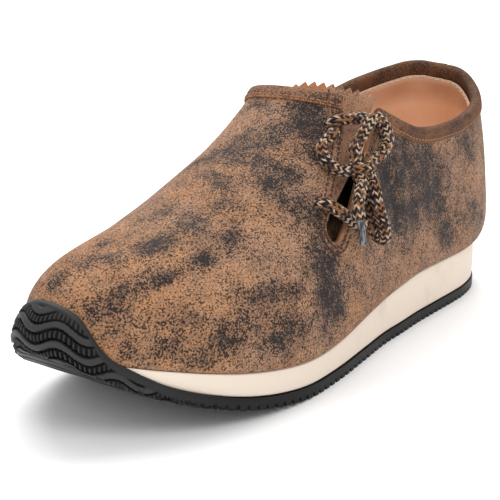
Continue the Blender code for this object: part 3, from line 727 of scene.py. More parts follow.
def wall_side(q, side, foot, below, parts):
    """Rise of one side's sections at parts of their own length, from foot millimetres over the lower edge
    to below millimetres under the collar: a row for each section, a column for each part."""
    rise = collar_tau(q, side)[:, None] * np.linspace(0, 1, 161)
    points = surface(q[:, None], rise if side == "lateral" else np.pi - rise)
    run = np.cumsum(np.linalg.norm(np.diff(points, axis=1, prepend=points[:, :1]), axis=2), 1)
    wanted = foot + parts * (run[:, -1:] - below - foot)
    tau = np.stack([np.interp(*section) for section in zip(wanted, run, rise)])
    return tau if side == "lateral" else np.pi - tau


def slopes(q, tau):
    """Change of the surface with q and with tau, from small steps to both sides."""
    d = 0.001
    ahead = (surface(q + d, tau) - surface(q - d, tau)) / (2 * d)
    return ahead, (surface(q, tau + d) - surface(q, tau - d)) / (2 * d)


def wall_place(along, height, side=1):
    """Place (q, tau) on one side at a length and height, from the nearest of a grid and six Newton steps."""
    along = np.atleast_1d(np.asarray(along, float))
    height = np.atleast_1d(np.asarray(height, float))
    grid_q, grid_t = np.meshgrid(np.linspace(0.04, 0.97, 150), np.linspace(0.05, 1.5, 88), indexing="ij")
    grid = surface(grid_q, grid_t if side > 0 else np.pi - grid_t)
    miss = (grid[..., 0] - along[:, None, None]) ** 2 + (grid[..., 2] - height[:, None, None]) ** 2
    pick = miss.reshape(len(along), -1).argmin(1)
    q = grid_q.reshape(-1)[pick]
    t = grid_t.reshape(-1)[pick]
    t = t if side > 0 else np.pi - t
    for _ in range(6):
        p = surface(q, t)
        pq, pt = slopes(q, t)
        ex = along - p[:, 0]
        ez = height - p[:, 2]
        full = pq[:, 0] * pt[:, 2] - pq[:, 2] * pt[:, 0]
        q = q + np.clip((ex * pt[:, 2] - ez * pt[:, 0]) / full, -0.01, 0.01)
        t = t + np.clip((pq[:, 0] * ez - pq[:, 2] * ex) / full, -0.02, 0.02)
    return q, t


def on_wall(along, height, off):
    """Point at a distance off from the outer wall at the given length and height."""
    q, t = wall_place(along, height)
    return surface(q, t) + np.asarray(off, float)[:, None] * normal(q, t)


def soft_marks(points, table, side):
    """For each row of a table, exp(-0.9 r2) at every point, where r is the distance from the mark's middle
    in the mark's own length and width; the mark turns in the wall from the shoe's length upward."""
    rows = np.array(table[1:], float)
    q, t = wall_place(rows[:, 0], rows[:, 1], side)
    middle = surface(q, t)
    out = normal(q, t)
    ahead = unit(np.array([1.0, 0, 0]) - out * out[:, :1])
    up = np.cross(ahead, out) * side
    turn = np.radians(rows[:, 4])[:, None]
    aim = np.cos(turn) * ahead + np.sin(turn) * up
    for row, centre, line in zip(rows, middle, aim):
        away = points - centre
        a = away @ line
        b2 = np.clip((away * away).sum(-1) - a * a, 0, None)
        yield row[5], np.exp(-0.9 * ((a / row[2]) ** 2 + b2 / row[3] ** 2))


def throat_place(down, across):
    """Length and height of a place given along the slit and square to it."""
    down = np.asarray(down, float)
    across = np.asarray(across, float)
    along = THROAT_TOP[0] + down * math.cos(THROAT_LEAN) + across * math.sin(THROAT_LEAN)
    height = THROAT_TOP[1] - down * math.sin(THROAT_LEAN) + across * math.cos(THROAT_LEAN)
    return along, height


def prism(near, far):
    """Points and faces of a closed prism between two like outlines."""
    return np.concatenate([near, far]), tube_faces(2, len(near))


def throat_tools():
    """Blade with the slit's outline, a long tongue shape with a round end, and a round punch for each
    lace hole square to the wall, as one closed set of bodies."""
    down = np.linspace(THROAT[1][0], THROAT_END, 24)
    half = column(THROAT, "half_width", down)
    middle = column(THROAT, "centre", down)
    turn = np.linspace(0, np.pi, 22)[1:-1]
    along_slit = np.concatenate([down, THROAT_END + half[-1] * np.sin(turn), down[::-1]])
    across = np.concatenate([middle + half, middle[-1] + half[-1] * np.cos(turn), (middle - half)[::-1]])
    along, height = throat_place(along_slit, across)
    bodies = [prism(*(np.stack([along, np.full_like(along, y), height], -1) for y in SLIT_BLADE))]
    turn = np.linspace(0, 2 * np.pi, 33)[:-1, None]
    for hole in EYELETS[1:]:
        along, height = throat_place(*hole)
        inside, outside = (on_wall([along], [height], [off])[0] for off in EYELET_PUNCH)
        axis = unit(outside - inside)
        side = unit(np.cross(axis, (0, 0, 1.0)))
        ring = EYELET_RADIUS * (np.cos(turn) * side + np.sin(turn) * np.cross(side, axis))
        bodies.append(prism(inside + ring, outside + ring))
    points = np.concatenate([body[0] for body in bodies])
    faces = []
    start = 0
    for body in bodies:
        faces += [[start + corner for corner in face] for face in body[1]]
        start += len(body[0])
    return new_piece("throat_tools", points, faces)


def build_upper():
    """Two walls, the outer one with its folds and the inner one a wall's thickness inside it square to
    the leather, joined along the collar and the lower edge; each side is a grid of sections and parts.
    The inner side also takes the outer side's low smudges, moved and turned."""
    rear = FRONT * (1 - (1 - np.linspace(0, 1, 120)) ** 1.5)
    q = np.concatenate([rear, np.linspace(FRONT, 1, 110)[1:]])
    parts = np.linspace(0, 1, 62) ** 1.25
    points = []
    faces = []
    smudge_and_inside_shade = []
    size = len(q) * len(parts)
    open_rows = len(rear)
    folds = (FOLDS_OUTER, FOLDS_INNER)
    marks = np.array(SMUDGES_OUTER[1:], float)
    low = marks[:, 1] < LOW_SHARE * column(CROWN, "ridge", marks[:, 0])
    smudges = (SMUDGES_OUTER, (*SMUDGES_INNER, *(marks[low] + INNER_MOVE)))
    for number, side in enumerate(("lateral", "medial")):
        tau = wall_side(q, side, 0.0, 0.0, parts)
        skin = surface(q[:, None], tau)
        out = normal(q[:, None], tau)
        deep = np.zeros(skin.shape[:2])
        clean = np.ones(skin.shape[:2])
        for sign, fold, dark in zip((1, -1), folds, smudges):
            deep += sum(value * mark for value, mark in soft_marks(skin, fold, sign))
            for value, mark in soft_marks(skin, dark, sign):
                clean *= 1 - value * mark
        deep *= soft_step(parts, 0.0, 0.12) * (1 - soft_step(parts, 0.88, 0.97))
        square = np.clip(tau, UPPER_SQUARE, np.pi - UPPER_SQUARE)
        within = skin - WALL * normal(q[:, None], square)
        points += [(skin + deep[..., None] * out).reshape(-1, 3), within.reshape(-1, 3)]
        # The outside takes its smudges; the inside face takes an even painted shade for the shadow inside the shoe
        smudge_and_inside_shade += [1 - clean.ravel(), np.full(size, INSIDE_PAINTED_SHADE)]
        outer = 2 * number * size
        index = outer + np.arange(size).reshape(len(q), len(parts))
        faces += [quads(len(q), len(parts), outer), quads(len(q), len(parts), outer + size)]
        for rim in (index[:, 0], index[:open_rows, -1]):
            faces.append(np.stack([rim[:-1], rim[1:], rim[1:] + size, rim[:-1] + size], -1))
    return new_piece("leather_upper", np.concatenate(points), np.concatenate(faces),
                     {"smudge_and_inside_shade": np.concatenate(smudge_and_inside_shade)}, sharp=50)


def cut_throat(made, raw):
    """Cut the slit and the lace holes; the cut faces take the raw edge's finish."""
    tool = throat_tools()
    tool.data.materials.append(raw)
    slit = made.modifiers.new("throat", "BOOLEAN")
    slit.operation = "DIFFERENCE"
    slit.solver = "EXACT"
    slit.material_mode = "TRANSFER"
    slit.object = tool
    seen = made.evaluated_get(bpy.context.evaluated_depsgraph_get())
    mesh = bpy.data.meshes.new_from_object(seen)
    made.modifiers.clear()
    made.data = mesh
    bpy.data.objects.remove(tool)


raw_edge, at, link = new_finish("raw_leather_edge", {"Roughness": 0.85})
fibre = at.noise(2.2, 4.0, 0.7)
link("Base Color", fibre.step(0.3, 0.7).mix(LEATHER_BROWN, RAW_EDGE))
link("Normal", relief(fibre, 0.3, 0.6))
upper = build_upper()
upper_finish, at, link = new_finish("upper_leather", {
    "Specular IOR Level": 0.08,
    "Sheen Weight": 0.03,
    "Sheen Roughness": 0.30,
    "Sheen Tint": (0.75, 0.86, 1.0, 1),
})
# The ground goes between tan, rust and brown in slow clouds, under a soft dark veil; a sooty black covers it where the
# kept smudges and broken clouds add up, and on the leather's inside face the even painted shade kept with the smudges
# darkens it the same way; fine umber grains lie over both
grain = at.noise(1.6, 2.0, 0.5)
fleck = at.noise(0.55, 3.0, 0.6)
patch = at.noise(0.16, 4.0, 0.6, 0.5)
cloud = at.noise(0.05, 3.0, 0.55, 0.4)
smear_and_inside_shade = at.kept("smudge_and_inside_shade")
amount = smear_and_inside_shade * (0.70 + patch) + (patch - 0.5) * 1.7 + (cloud - 0.5) * 1.1
speck = (grain + (fleck - 0.5) * 0.45 + amount * 0.09).step(0.45, 0.65)
soot_and_inside_shade = (amount + (fleck - 0.5) * 1.4 + (grain - 0.5) * 3.2).step(0.15, 1.2)
veil = (smear_and_inside_shade * 0.9 + (cloud - 0.5) * 1.7 + (patch - 0.5) * 1.3 + 0.32).step(0.0, 1.3)
toe = at.axis("X").step(-0.02, 0.12)
ground = (at.noise(0.035, 3.0, 0.55) + toe * 0.22).step(0.48, 0.80).mix(LEATHER_TAN, LEATHER_RUST)
ground = (fleck * 0.6 + at.noise(0.9, 3.0, 0.7) * 0.4).step(0.34, 0.58).mix(LEATHER_BROWN, ground)
ground = (veil * 0.62).mix(ground, LEATHER_VEIL)
link("Base Color", (speck * 0.85).mix((soot_and_inside_shade * 0.92).mix(ground, LEATHER_DARK), LEATHER_UMBER))
link("Roughness", 0.68 - soot_and_inside_shade * 0.12)
link("Normal", relief(grain * 0.6 + fleck * 0.4, 0.35, 0.6))
put_on(upper, "upper", upper_finish, "upper")
cut_throat(upper, raw_edge)

# Lining: thin peach-tan leather glued inside the quarters, its raw top edge lapped over the binding's
# inner leaf and sewn down with one row of white thread.
LINING_BELOW = 4.6
LINING_FOOT = 4.0
LINING_THICK = 0.9
LINING_CLEAR = 0.35
LINING_LAP = 1.45
PUCKER = 0.6
PUCKER_RUN = 5.3
PUCKER_DRIFT = 23.0
LINING_TAN = (0.98, 0.66, 0.44)
LINING_PALE = (0.92, 0.70, 0.52)
LINING_DARK = (0.90, 0.51, 0.30)
LINING_PAINTED_SHADE = (0.46, 0.18, 0.080)
THREAD_WHITE = (0.90, 0.68, 0.50)
STITCH_SINK = 0.25
# Stitches of each seam: distance from one to the next, length and thickness
LINING_STITCH = (3.2, 2.3, 0.55)


def collar_in_throat():
    """Places q on the outer collar with their distances along the slit and square to it."""
    q = np.linspace(0.3, FRONT - 1e-4, 1200)
    edge = surface(q, collar_tau(q, "lateral"))
    ahead = edge[:, 0] - THROAT_TOP[0]
    up = edge[:, 2] - THROAT_TOP[1]
    down = ahead * math.cos(THROAT_LEAN) - up * math.sin(THROAT_LEAN)
    return q, down, ahead * math.sin(THROAT_LEAN) + up * math.cos(THROAT_LEAN)


def binding_ends():
    """Places q on the outer collar where the slit's front and rear edges reach it."""
    q, down, across = collar_in_throat()
    half = column(THROAT, "half_width", down)
    beside = across - column(THROAT, "centre", down)
    return q[np.argmin(np.abs(beside - half))], q[np.argmin(np.abs(beside + half))]


GAP_FRONT, GAP_REAR = binding_ends()


def thick_sheet(name, face, back, notes=None):
    """Closed sheet between two like grids of points: both faces and the rim all round."""
    rows, columns = face.shape[:2]
    size = rows * columns
    number = np.arange(size).reshape(rows, columns)
    rim = np.concatenate([number[0], number[1:, -1], number[-1, -2::-1], number[-2:0:-1, 0]])
    after = np.roll(rim, -1)
    faces = np.concatenate([
        quads(rows, columns),
        quads(rows, columns, size)[:, ::-1],
        np.stack([rim, after, after + size, rim + size], -1),
    ])
    notes = {note: np.concatenate([value.ravel(), value.ravel()]) for note, value in (notes or {}).items()}
    return new_piece(name, np.concatenate([face.reshape(-1, 3), back.reshape(-1, 3)]), faces, notes)


def lengths(points):
    """Distance run along a line of points."""
    return np.concatenate([[0], np.cumsum(np.linalg.norm(np.diff(points, axis=0), axis=1))])


def at_lengths(points, run, wanted):
    """Points of a line at the wanted distances."""
    return np.stack([np.interp(wanted, run, points[:, k]) for k in range(3)], -1)


def stitch_row(line, out, pitch, long, thick):
    """Stitches along a line, each a capsule of six rings of six points, laid on the surface and sunk into
    it by a share of its thickness; gives points and faces."""
    run = lengths(line)
    middle = np.arange(0.5 * pitch, run[-1], pitch)
    centre = at_lengths(line, run, middle)
    ahead = unit(at_lengths(line, run, middle + 0.2) - at_lengths(line, run, middle - 0.2))
    up = at_lengths(out, run, middle)
    up = unit(up - ahead * (up * ahead).sum(-1, keepdims=True))
    side = np.cross(up, ahead)
    part = np.array([-1.0, -0.86, -0.45, 0.45, 0.86, 1.0])
    round_off = np.array([0.12, 0.62, 1.0, 1.0, 0.62, 0.12]) * thick / 2
    turn = np.linspace(0, 2 * np.pi, 7)[:-1]
    drop = -0.35 * thick * part ** 2
    ring_up = round_off[:, None] * np.sin(turn) + (drop + thick * (0.5 - STITCH_SINK))[:, None]
    ring_side = round_off[:, None] * np.cos(turn)
    points = centre[:, None, None] + (0.5 * long * part)[:, None, None] * ahead[:, None, None]
    points = points + ring_side[..., None] * side[:, None, None] + ring_up[..., None] * up[:, None, None]
    ends = [[0, 1, 2, 3], [0, 3, 4, 5], [33, 32, 31, 30], [35, 34, 33, 30]]
    one = np.concatenate([quads(6, 6, close_columns=True), ends])
    faces = one[None] + 36 * np.arange(len(middle))[:, None, None]
    return points.reshape(-1, 3), faces.reshape(-1, 4)


def sew(name, rows, colour, slot):
    """One piece of all the stitches of a thread, in its own colour darkened by its twist."""
    start = 0
    points = []
    faces = []
    for row_points, row_faces in rows:
        points.append(row_points)
        faces.append(row_faces + start)
        start += len(row_points)
    made = new_piece(name, np.concatenate(points), np.concatenate(faces))
    finish, at, link = new_finish(name + "_thread", {"Roughness": 0.8})
    twist = at.noise(2.5, 2.0)
    link("Base Color", twist.step(0.3, 0.7).mix(tuple(0.6 * c for c in colour), colour))
    put_on(made, slot, finish)


def lining_grid():
    """Grid of the lining's outer face, round the heel from the slit's rear edge to the front of the inner
    side and from the insole up to its top edge: it lies inside the wall, then goes out over the binding's
    inner leaf; soft puckers, a sine of the way round the heel, stand upright in it."""
    outer = (GAP_REAR - 0.02) * (1 - np.linspace(0, 1, 110)) ** 1.15
    inner = (FRONT - 0.03) * np.linspace(0, 1, 150)[1:] ** 1.15
    share = 1 - (1 - np.linspace(0, 1, 60)) ** 1.6
    sides = ((outer, "lateral"), (inner, "medial"))
    tau = np.concatenate([wall_side(q, side, LINING_FOOT, LINING_BELOW, share) for q, side in sides])
    q = np.concatenate([outer, inner])[:, None]
    skin = surface(q, tau)
    out = normal(q, tau)
    off = -WALL - LINING_CLEAR - LINING_LAP * soft_step(share, 0.62, 0.93)
    way = lengths(skin[:, -1])[:, None]
    pucker = np.sin(way / PUCKER_RUN + 2.0 * np.sin(way / PUCKER_DRIFT)) * soft_step(share, 0.25, 0.8)
    pucker = -PUCKER * (pucker + 1) * (1 - soft_step(share, 0.86, 1.0))
    return skin, out, off[None] + pucker, share


skin, out, off, share = lining_grid()
face = skin + off[..., None] * out
back = face - LINING_THICK * out
pale = np.broadcast_to(soft_step(share, 0.955, 0.985), off.shape)
# Painted shade: the lining darkens towards its top edge, under the binding's overhang
shade = np.broadcast_to(soft_step(share, 0.78, 0.93), off.shape)
lining = thick_sheet("leather_lining", face, back, {"pale": pale, "shade": shade})
lining_finish, at, link = new_finish("lining_leather", {"Roughness": 0.75, "Specular IOR Level": 0.3})
pores = at.noise(1.8, 3.0, 0.6)
worn = at.noise(0.045, 4.0, 0.55)
ground = (worn * 0.8 + pores * 0.35).step(0.30, 0.85).mix(LINING_DARK, LINING_TAN)
ground = (at.kept("shade") * 0.7).mix(ground, LINING_PAINTED_SHADE)
link("Base Color", (at.kept("pale") * 0.4).mix(ground, LINING_PALE))
link("Normal", relief(pores, 0.2, 0.5))
put_on(lining, "insole", lining_finish)
seam = stitch_row(back[:, -4], -out[:, -4], *LINING_STITCH)
sew("lining_stitches", [seam], THREAD_WHITE, "insole")

# Collar binding: a strip of the same leather folded over the collar's edge, glued and sewn near its
# raw lower edge; it stops at both edges of the slit.
BINDING_BROWN = (0.26, 0.143, 0.088)
BINDING_RUST = (0.27, 0.125, 0.060)
BINDING_DARK = (0.020, 0.015, 0.014)
BINDING_REAR = (0.095, 0.036, 0.015)
THREAD_RUST = (0.38, 0.18, 0.105)
COLLAR_SEAM = (3.7, 0.98)
COLLAR_STITCH = (2.6, 1.9, 0.6)
# Section of the folded strip: down is measured from the collar's edge, off from the leather's outside
BINDING_SECTION = (
    "down off raw",
    (4.75, 0.05, 1.0),
    (4.95, 0.35, 1.0),
    (4.90, 0.75, 1.0),
    (4.60, 0.98, 0.6),
    (4.15, 1.00, 0.1),
    (3.60, 0.90, 0.0),
    (3.10, 1.12, 0.0),
    (2.20, 1.34, 0.0),
    (1.20, 1.36, 0.0),
    (0.30, 1.28, 0.0),
    (-0.45, 1.05, 0.0),
    (-1.05, 0.55, 0.0),
    (-1.50, -0.20, 0.0),
    (-1.68, -1.10, 0.0),
    (-1.50, -2.00, 0.0),
    (-1.05, -2.75, 0.0),
    (-0.45, -3.20, 0.0),
    (0.60, -3.42, 0.0),
    (2.50, -3.45, 0.0),
    (5.00, -3.40, 0.0),
    (8.40, -3.30, 0.0),
    (8.60, -2.90, 0.0),
    (8.40, -2.35, 0.0),
    (4.00, -2.28, 0.0),
    (0.00, -2.28, 0.0),
    (-0.12, -1.10, 0.0),
    (0.00, 0.06, 0.0),
    (2.40, 0.05, 0.0),
)


def walk(q, tau, heading, distance, pace=1.0):
    """Places reached by going straight over the surface: each step is turned into the surface and shared
    between q and tau by the metric of their two directions."""
    q = np.array(q, float)
    tau = np.array(tau, float)
    distance = np.broadcast_to(np.asarray(distance, float), q.shape)
    steps = max(1, int(np.ceil(np.abs(distance).max() / pace)))
    for _ in range(steps):
        pq, pt = slopes(q, tau)
        n = unit(np.cross(pt, pq))
        heading = unit(heading - n * (heading * n).sum(-1, keepdims=True))
        go = heading * (distance / steps)[..., None]
        a = (pq * pq).sum(-1)
        b = (pq * pt).sum(-1)
        c = (pt * pt).sum(-1)
        e = (pq * go).sum(-1)
        f = (pt * go).sum(-1)
        full = a * c - b * b
        q = q + (c * e - b * f) / full
        tau = tau + (a * f - b * e) / full
    return q, tau


def down_from_collar(q, tau):
    """Direction in the surface square to the collar's edge, away from the opening."""
    run = np.gradient(surface(q, tau), axis=0)
    return unit(np.cross(normal(q, tau), run))


def binding_path():
    """Places along the collar's edge from the slit's front edge over the front and round the heel."""
    near = GAP_FRONT + (FRONT - GAP_FRONT) * (1 - (1 - np.linspace(0, 1, 60)) ** 1.5)
    inner = FRONT * (1 - (1 - np.linspace(0, 1, 190)) ** 1.6)
    rear = GAP_REAR * (1 - np.linspace(0, 1, 130)) ** 1.15
    q = np.concatenate([near, inner[::-1][1:], rear[::-1][1:]])
    tau = np.concatenate([
        collar_tau(near, "lateral"),
        np.pi - collar_tau(inner[::-1][1:], "medial"),
        collar_tau(rear[::-1][1:], "lateral"),
    ])
    return q, tau


def binding_line(down, off):
    """Line along the binding at a distance down from the collar's edge and off from the leather, and the
    leather's normal there; up over the edge it goes straight on."""
    q, tau = binding_path()
    ahead = down_from_collar(q, tau)
    low_q, low_tau = walk(q, tau, ahead, down) if down > 0 else (q, tau)
    out = normal(low_q, low_tau)
    return surface(low_q, low_tau) + ahead * min(down, 0.0) + off * out, out


section = np.array(BINDING_SECTION[1:], float)
rings = np.stack([binding_line(down, off)[0] for down, off, raw in section], 1)
binding = new_piece("leather_binding", rings.reshape(-1, 3), tube_faces(*rings.shape[:2]),
                    {"raw": np.tile(section[:, 2], len(rings))})
binding_finish, at, link = new_finish("binding_leather", {"Specular IOR Level": 0.15})
grain = at.noise(1.6, 2.0, 0.55)
cloud = at.noise(0.08, 3.0, 0.6)
raw = at.kept("raw")
speck = (grain + (cloud - 0.5) * 0.6).step(0.42, 0.62)
ground = at.noise(0.5, 3.0).step(0.3, 0.7).mix(BINDING_RUST, BINDING_BROWN)
rear = at.axis("X").step(0.0, -0.03)
ground = (rear * 0.65).mix(ground, BINDING_REAR)
ground = (raw * (0.75 - rear * 0.5)).mix(ground, RAW_EDGE)
link("Base Color", (speck * (0.9 - raw * 0.3)).mix(ground, BINDING_DARK))
link("Roughness", 0.78 - speck * 0.1)
link("Normal", relief(grain, 0.35, 0.6))
put_on(binding, "binding", binding_finish, "collar_binding")
seam = stitch_row(*binding_line(*COLLAR_SEAM), *COLLAR_STITCH)
sew("collar_stitches", [seam], THREAD_RUST, "binding")

# Tongue: a soft tan leather flap behind the slit, worn dark on its outer part and still orange over
# the front; it is sewn inside the front flap, and its top edge is pinked into a row of points.
TONGUE_THICK = 1.4
TONGUE_EDGE = -3.0
TONGUE_REACH = 0.05
BEHIND_BINDING = 4.5
BEHIND_LEATHER = WALL + 0.5
TEETH_POINTS = 8
PINK_PITCH = 4.2
PINK_DEEP = 2.2
TONGUE_TAN = (0.37, 0.185, 0.098)
TONGUE_ORANGE = (0.36, 0.140, 0.050)
TONGUE_BROWN = (0.045, 0.027, 0.019)
TONGUE = (
    "part deep rise",
    (0.00, 26, 7.6),
    (0.03, 39, 7.5),
    (0.06, 52, 7.3),
    (0.09, 60, 7.1),
    (0.15, 61, 6.9),
    (0.45, 58, 7.0),
    (0.60, 52, 6.0),
    (0.70, 46, 1.0),
    (0.86, 34, -2.0),
    (1.00, 22, -3.0),
)


def tongue_grid():
    """Grid of the tongue's face: columns along the collar's edge from the outer side over the front, rows
    from the pinked top, a row of teeth, down behind the leather; it stands off where the binding lies."""
    collar_q, _, across = collar_in_throat()
    rear = collar_q[np.argmin(np.abs(across - TONGUE_EDGE))]
    far = FRONT - TONGUE_REACH
    outer = rear + (FRONT - rear) * (1 - (1 - np.linspace(0, 1, 500)) ** 1.7)
    inner = (far + (FRONT - far) * (1 - (1 - np.linspace(0, 1, 200)) ** 1.7))[::-1][1:]
    q = np.concatenate([outer, inner])
    tau = np.concatenate([collar_tau(outer, "lateral"), np.pi - collar_tau(inner, "medial")])
    run = lengths(surface(q, tau))
    teeth = int(run[-1] / PINK_PITCH)
    even = np.linspace(0, run[-1], teeth * TEETH_POINTS + 1)
    q = np.interp(even, run, q)
    tau = np.interp(even, run, tau)
    part = even / run[-1]
    ahead = np.tile(DOWN_SLIT, (len(q), 1))
    pink = np.abs(2 * (part * teeth % 1) - 1) ** 1.2
    rise = column(TONGUE, "rise", part) - PINK_DEEP * pink + 0.5 * PINK_DEEP
    deep = column(TONGUE, "deep", part)
    rows = []
    outs = []
    for share in np.linspace(0, 1, 36) ** 1.3:
        go = -rise + (deep + rise) * share
        at_q, at_tau = walk(q, tau, ahead, go, 2.0)
        ease = soft_step(go, 9, 17)
        stand = BEHIND_BINDING * (1 - ease) + BEHIND_LEATHER * ease
        outs.append(normal(at_q, at_tau))
        rows.append(surface(at_q, at_tau) - stand[:, None] * outs[-1])
    clean = np.broadcast_to(soft_step(part, 0.34, 0.44), (len(rows), len(q)))
    return np.stack(rows), np.stack(outs), {"clean": clean}


face, out, notes = tongue_grid()
tongue = thick_sheet("leather_tongue", face, face - TONGUE_THICK * out, notes)
tongue_finish, at, link = new_finish("tongue_leather", {"Roughness": 0.85, "Sheen Weight": 0.1})
nap = at.noise(1.5, 3.0, 0.6)
cloud = at.noise(0.12, 3.0, 0.6)
clean = at.kept("clean")
ground = clean.mix(TONGUE_TAN, TONGUE_ORANGE)
speck = (nap + (cloud - 0.5) * 0.4).step(0.48, 0.66) * (0.9 - clean * 0.5)
link("Base Color", (speck * 0.85).mix(ground, TONGUE_BROWN))
link("Normal", relief(nap, 0.4, 0.6))
put_on(tongue, "tongue", tongue_finish, "tongue")

# Gusset: thin leather behind the slit, painted black outside for the shadow deep inside the shoe, light tan inside
# like the lining; at its lower end, where light reaches in, it shows the brown of lit leather; it is sewn to the
# tongue's rear edge and inside the rear flap.
GUSSET_THICK = 0.8
GUSSET_DOWN = (12, 59)
GUSSET_ACROSS = (-16, 3)
GUSSET_ROWS = 40
GUSSET_COLUMNS = 24
GUSSET_OFF = 5.0
GUSSET_SAG = 1.2
GUSSET_PAINTED_SHADE = (0.008, 0.006, 0.005)
GUSSET_LIT_BROWN = (0.20, 0.105, 0.060)


def gusset_grid():
    """Grid along and across the slit, inside the wall: between its sewn edges it sags inward as half a
    sine."""
    down = np.repeat(np.linspace(*GUSSET_DOWN, GUSSET_ROWS), GUSSET_COLUMNS)
    across = np.tile(np.linspace(*GUSSET_ACROSS, GUSSET_COLUMNS), GUSSET_ROWS)
    share = np.tile(np.linspace(0, 1, GUSSET_COLUMNS), GUSSET_ROWS)
    q, t = wall_place(*throat_place(down, across))
    out = normal(q, t)
    face = surface(q, t) - (GUSSET_OFF + GUSSET_SAG * np.sin(np.pi * share))[:, None] * out
    return face.reshape(GUSSET_ROWS, GUSSET_COLUMNS, 3), out.reshape(GUSSET_ROWS, GUSSET_COLUMNS, 3)


face, out = gusset_grid()
gusset = thick_sheet("leather_gusset", face, face - GUSSET_THICK * out)
gusset_finish, at, link = new_finish("gusset_painted_shade", {"Roughness": 0.9, "Specular IOR Level": 0.05})
pores = at.noise(1.8, 3.0, 0.6)
# Painted shade: black all over except at the lower end, where light reaches into the slit and the leather shows brown
low = at.axis("Z").step(0.058, 0.051)
link("Base Color", (low * pores.step(0.3, 0.6)).mix(GUSSET_PAINTED_SHADE, GUSSET_LIT_BROWN))
put_on(gusset, "tongue", [gusset_finish, lining_finish])
sheet = (GUSSET_ROWS - 1) * (GUSSET_COLUMNS - 1)
finish_number = np.zeros(len(gusset.data.polygons), np.int32)
finish_number[sheet:2 * sheet] = 1
gusset.data.polygons.foreach_set("material_index", finish_number)

# Slit stitches: two rows of dark thread beside the slit's front edge, which hold the tongue; both go
# round its lower end, and the one nearer the edge runs on up the rear edge.
THREAD_DARK = (0.10, 0.034, 0.018)
SLIT_STITCH = (2.2, 1.8, 0.75)
SLIT_TOP = -1.0
SLIT_ROWS = (
    "beside rear_top",
    (1.1, 33.0),
    (3.3, 46.0),
)


def slit_line(beside, rear_top):
    """Line on the leather beside the slit's edge: down the front, round the end and up the rear."""
    front = np.linspace(SLIT_TOP, THROAT_END, 60)
    rear = np.linspace(THROAT_END, rear_top, 40)
    turn = np.linspace(0, np.pi, 30)[1:-1]
    end = column(THROAT, "half_width", THROAT_END) + beside
    middle = column(THROAT, "centre", THROAT_END)
    down = np.concatenate([front, THROAT_END + end * np.sin(turn), rear])
    across = np.concatenate([
        column(THROAT, "centre", front) + column(THROAT, "half_width", front) + beside,
        middle + end * np.cos(turn),
        column(THROAT, "centre", rear) - column(THROAT, "half_width", rear) - beside,
    ])
    q, t = wall_place(*throat_place(down, across))
    return surface(q, t), normal(q, t)


seams = [stitch_row(*slit_line(*row), *SLIT_STITCH) for row in SLIT_ROWS[1:]]
sew("slit_stitches", seams, THREAD_DARK, "upper")

# Midsole: a smooth cream foam wedge, thick under the heel and thin under the ball, glued between
# the upper and the outsole.
OUTSOLE_THICK = 4.4
GAP = 0.3
MIDSOLE_RIM = 0.8
MIDSOLE_BULGE = 0.35
MIDSOLE_CREAM = (0.74, 0.635, 0.535)
MIDSOLE_SOILED = (0.65, 0.53, 0.43)
midsole = sole_layer(
    "foam_midsole",
    lambda along: feather(along) - GAP,
    lambda along: floor_line(along) + OUTSOLE_THICK + GAP,
    grow=0.0,
    rim=MIDSOLE_RIM,
    bulge=MIDSOLE_BULGE,
)
midsole_finish, at, link = new_finish("midsole_foam", {"Roughness": 0.6, "Specular IOR Level": 0.3})
skin = at.noise(2.4, 2.0)
soil = at.noise(0.05, 4.0, 0.65)
link("Base Color", soil.step(0.52, 0.85).mix(MIDSOLE_CREAM, MIDSOLE_SOILED))
link("Normal", relief(skin, 0.08, 0.4))
put_on(midsole, "midsole", midsole_finish, "midsole")

# Outsole: one moulded black rubber piece with wavy cross ribs underneath; at the toe it climbs over
# the midsole and the leather as a bumper of wavy ribs, every second one toothed.
OUTSOLE_FLANGE = 0.5
FLANGE_FADE = 8.0
SEAT = 0.12
EDGE_FOOT = 0.15
EDGE_ROUND = 1.6
EDGE_RISE = 0.3
LEAN_RUN = 8.0
RIB_PITCH = 4.14
RIB_START = -0.11
RIB_FLAT = 2.6
GROOVE_FROM = 2.9
GROOVE_TO = 3.8
RIB_DEEP = 1.6
RIB_WAVE = 1.6
WAVE_FADE = 20.0
HEEL_BEVEL = 2.4
HEEL_BEVEL_RUN = 18.0
TOE_BEVEL = 4.0
TOE_BEVEL_RUN = 18.0
TOE_RIB_LOSS = 0.7
TOE_TIP = (232, 258)
TIP_ROUND = 9.0
BUMPER_BASE = 2.85
BUMPER_RIB = 2.65
BUMPER_WAVE = 1.35
BUMPER_WAVELENGTH = 16.0
BUMPER_PHASE = 4.5
BUMPER_RELIEF = 1.7
BUMPER_TAPER = 0.65
BUMPER_TAPER_RUN = 8.5
MARGIN_LEVEL = 0.75
LIP_RUN = 0.9
LIP_ROUND = 0.35
TOOTH_PITCH = 1.35
RUBBER = (0.008, 0.008, 0.009)
RUBBER_WORN = (0.014, 0.014, 0.015)
RUBBER_RIB_TOP = (0.036, 0.036, 0.037)
BUMPER = (
    "along rise thick margin",
    (190, 4.0, 0.10, 3.0),
    (200, 4.2, 0.10, 3.0),
    (214, 4.4, 0.60, 3.0),
    (228, 4.8, 1.20, 3.0),
    (240, 5.6, 1.80, 2.8),
    (246, 7.0, 2.20, 2.6),
    (250, 8.3, 2.50, 2.6),
    (253, 9.4, 2.90, 2.2),
    (255.5, 12.2, 3.00, 2.0),
    (257.5, 16.6, 3.20, 1.4),
    (259.5, 20.0, 3.40, 1.2),
    (262, 21.7, 3.60, 1.2),
)


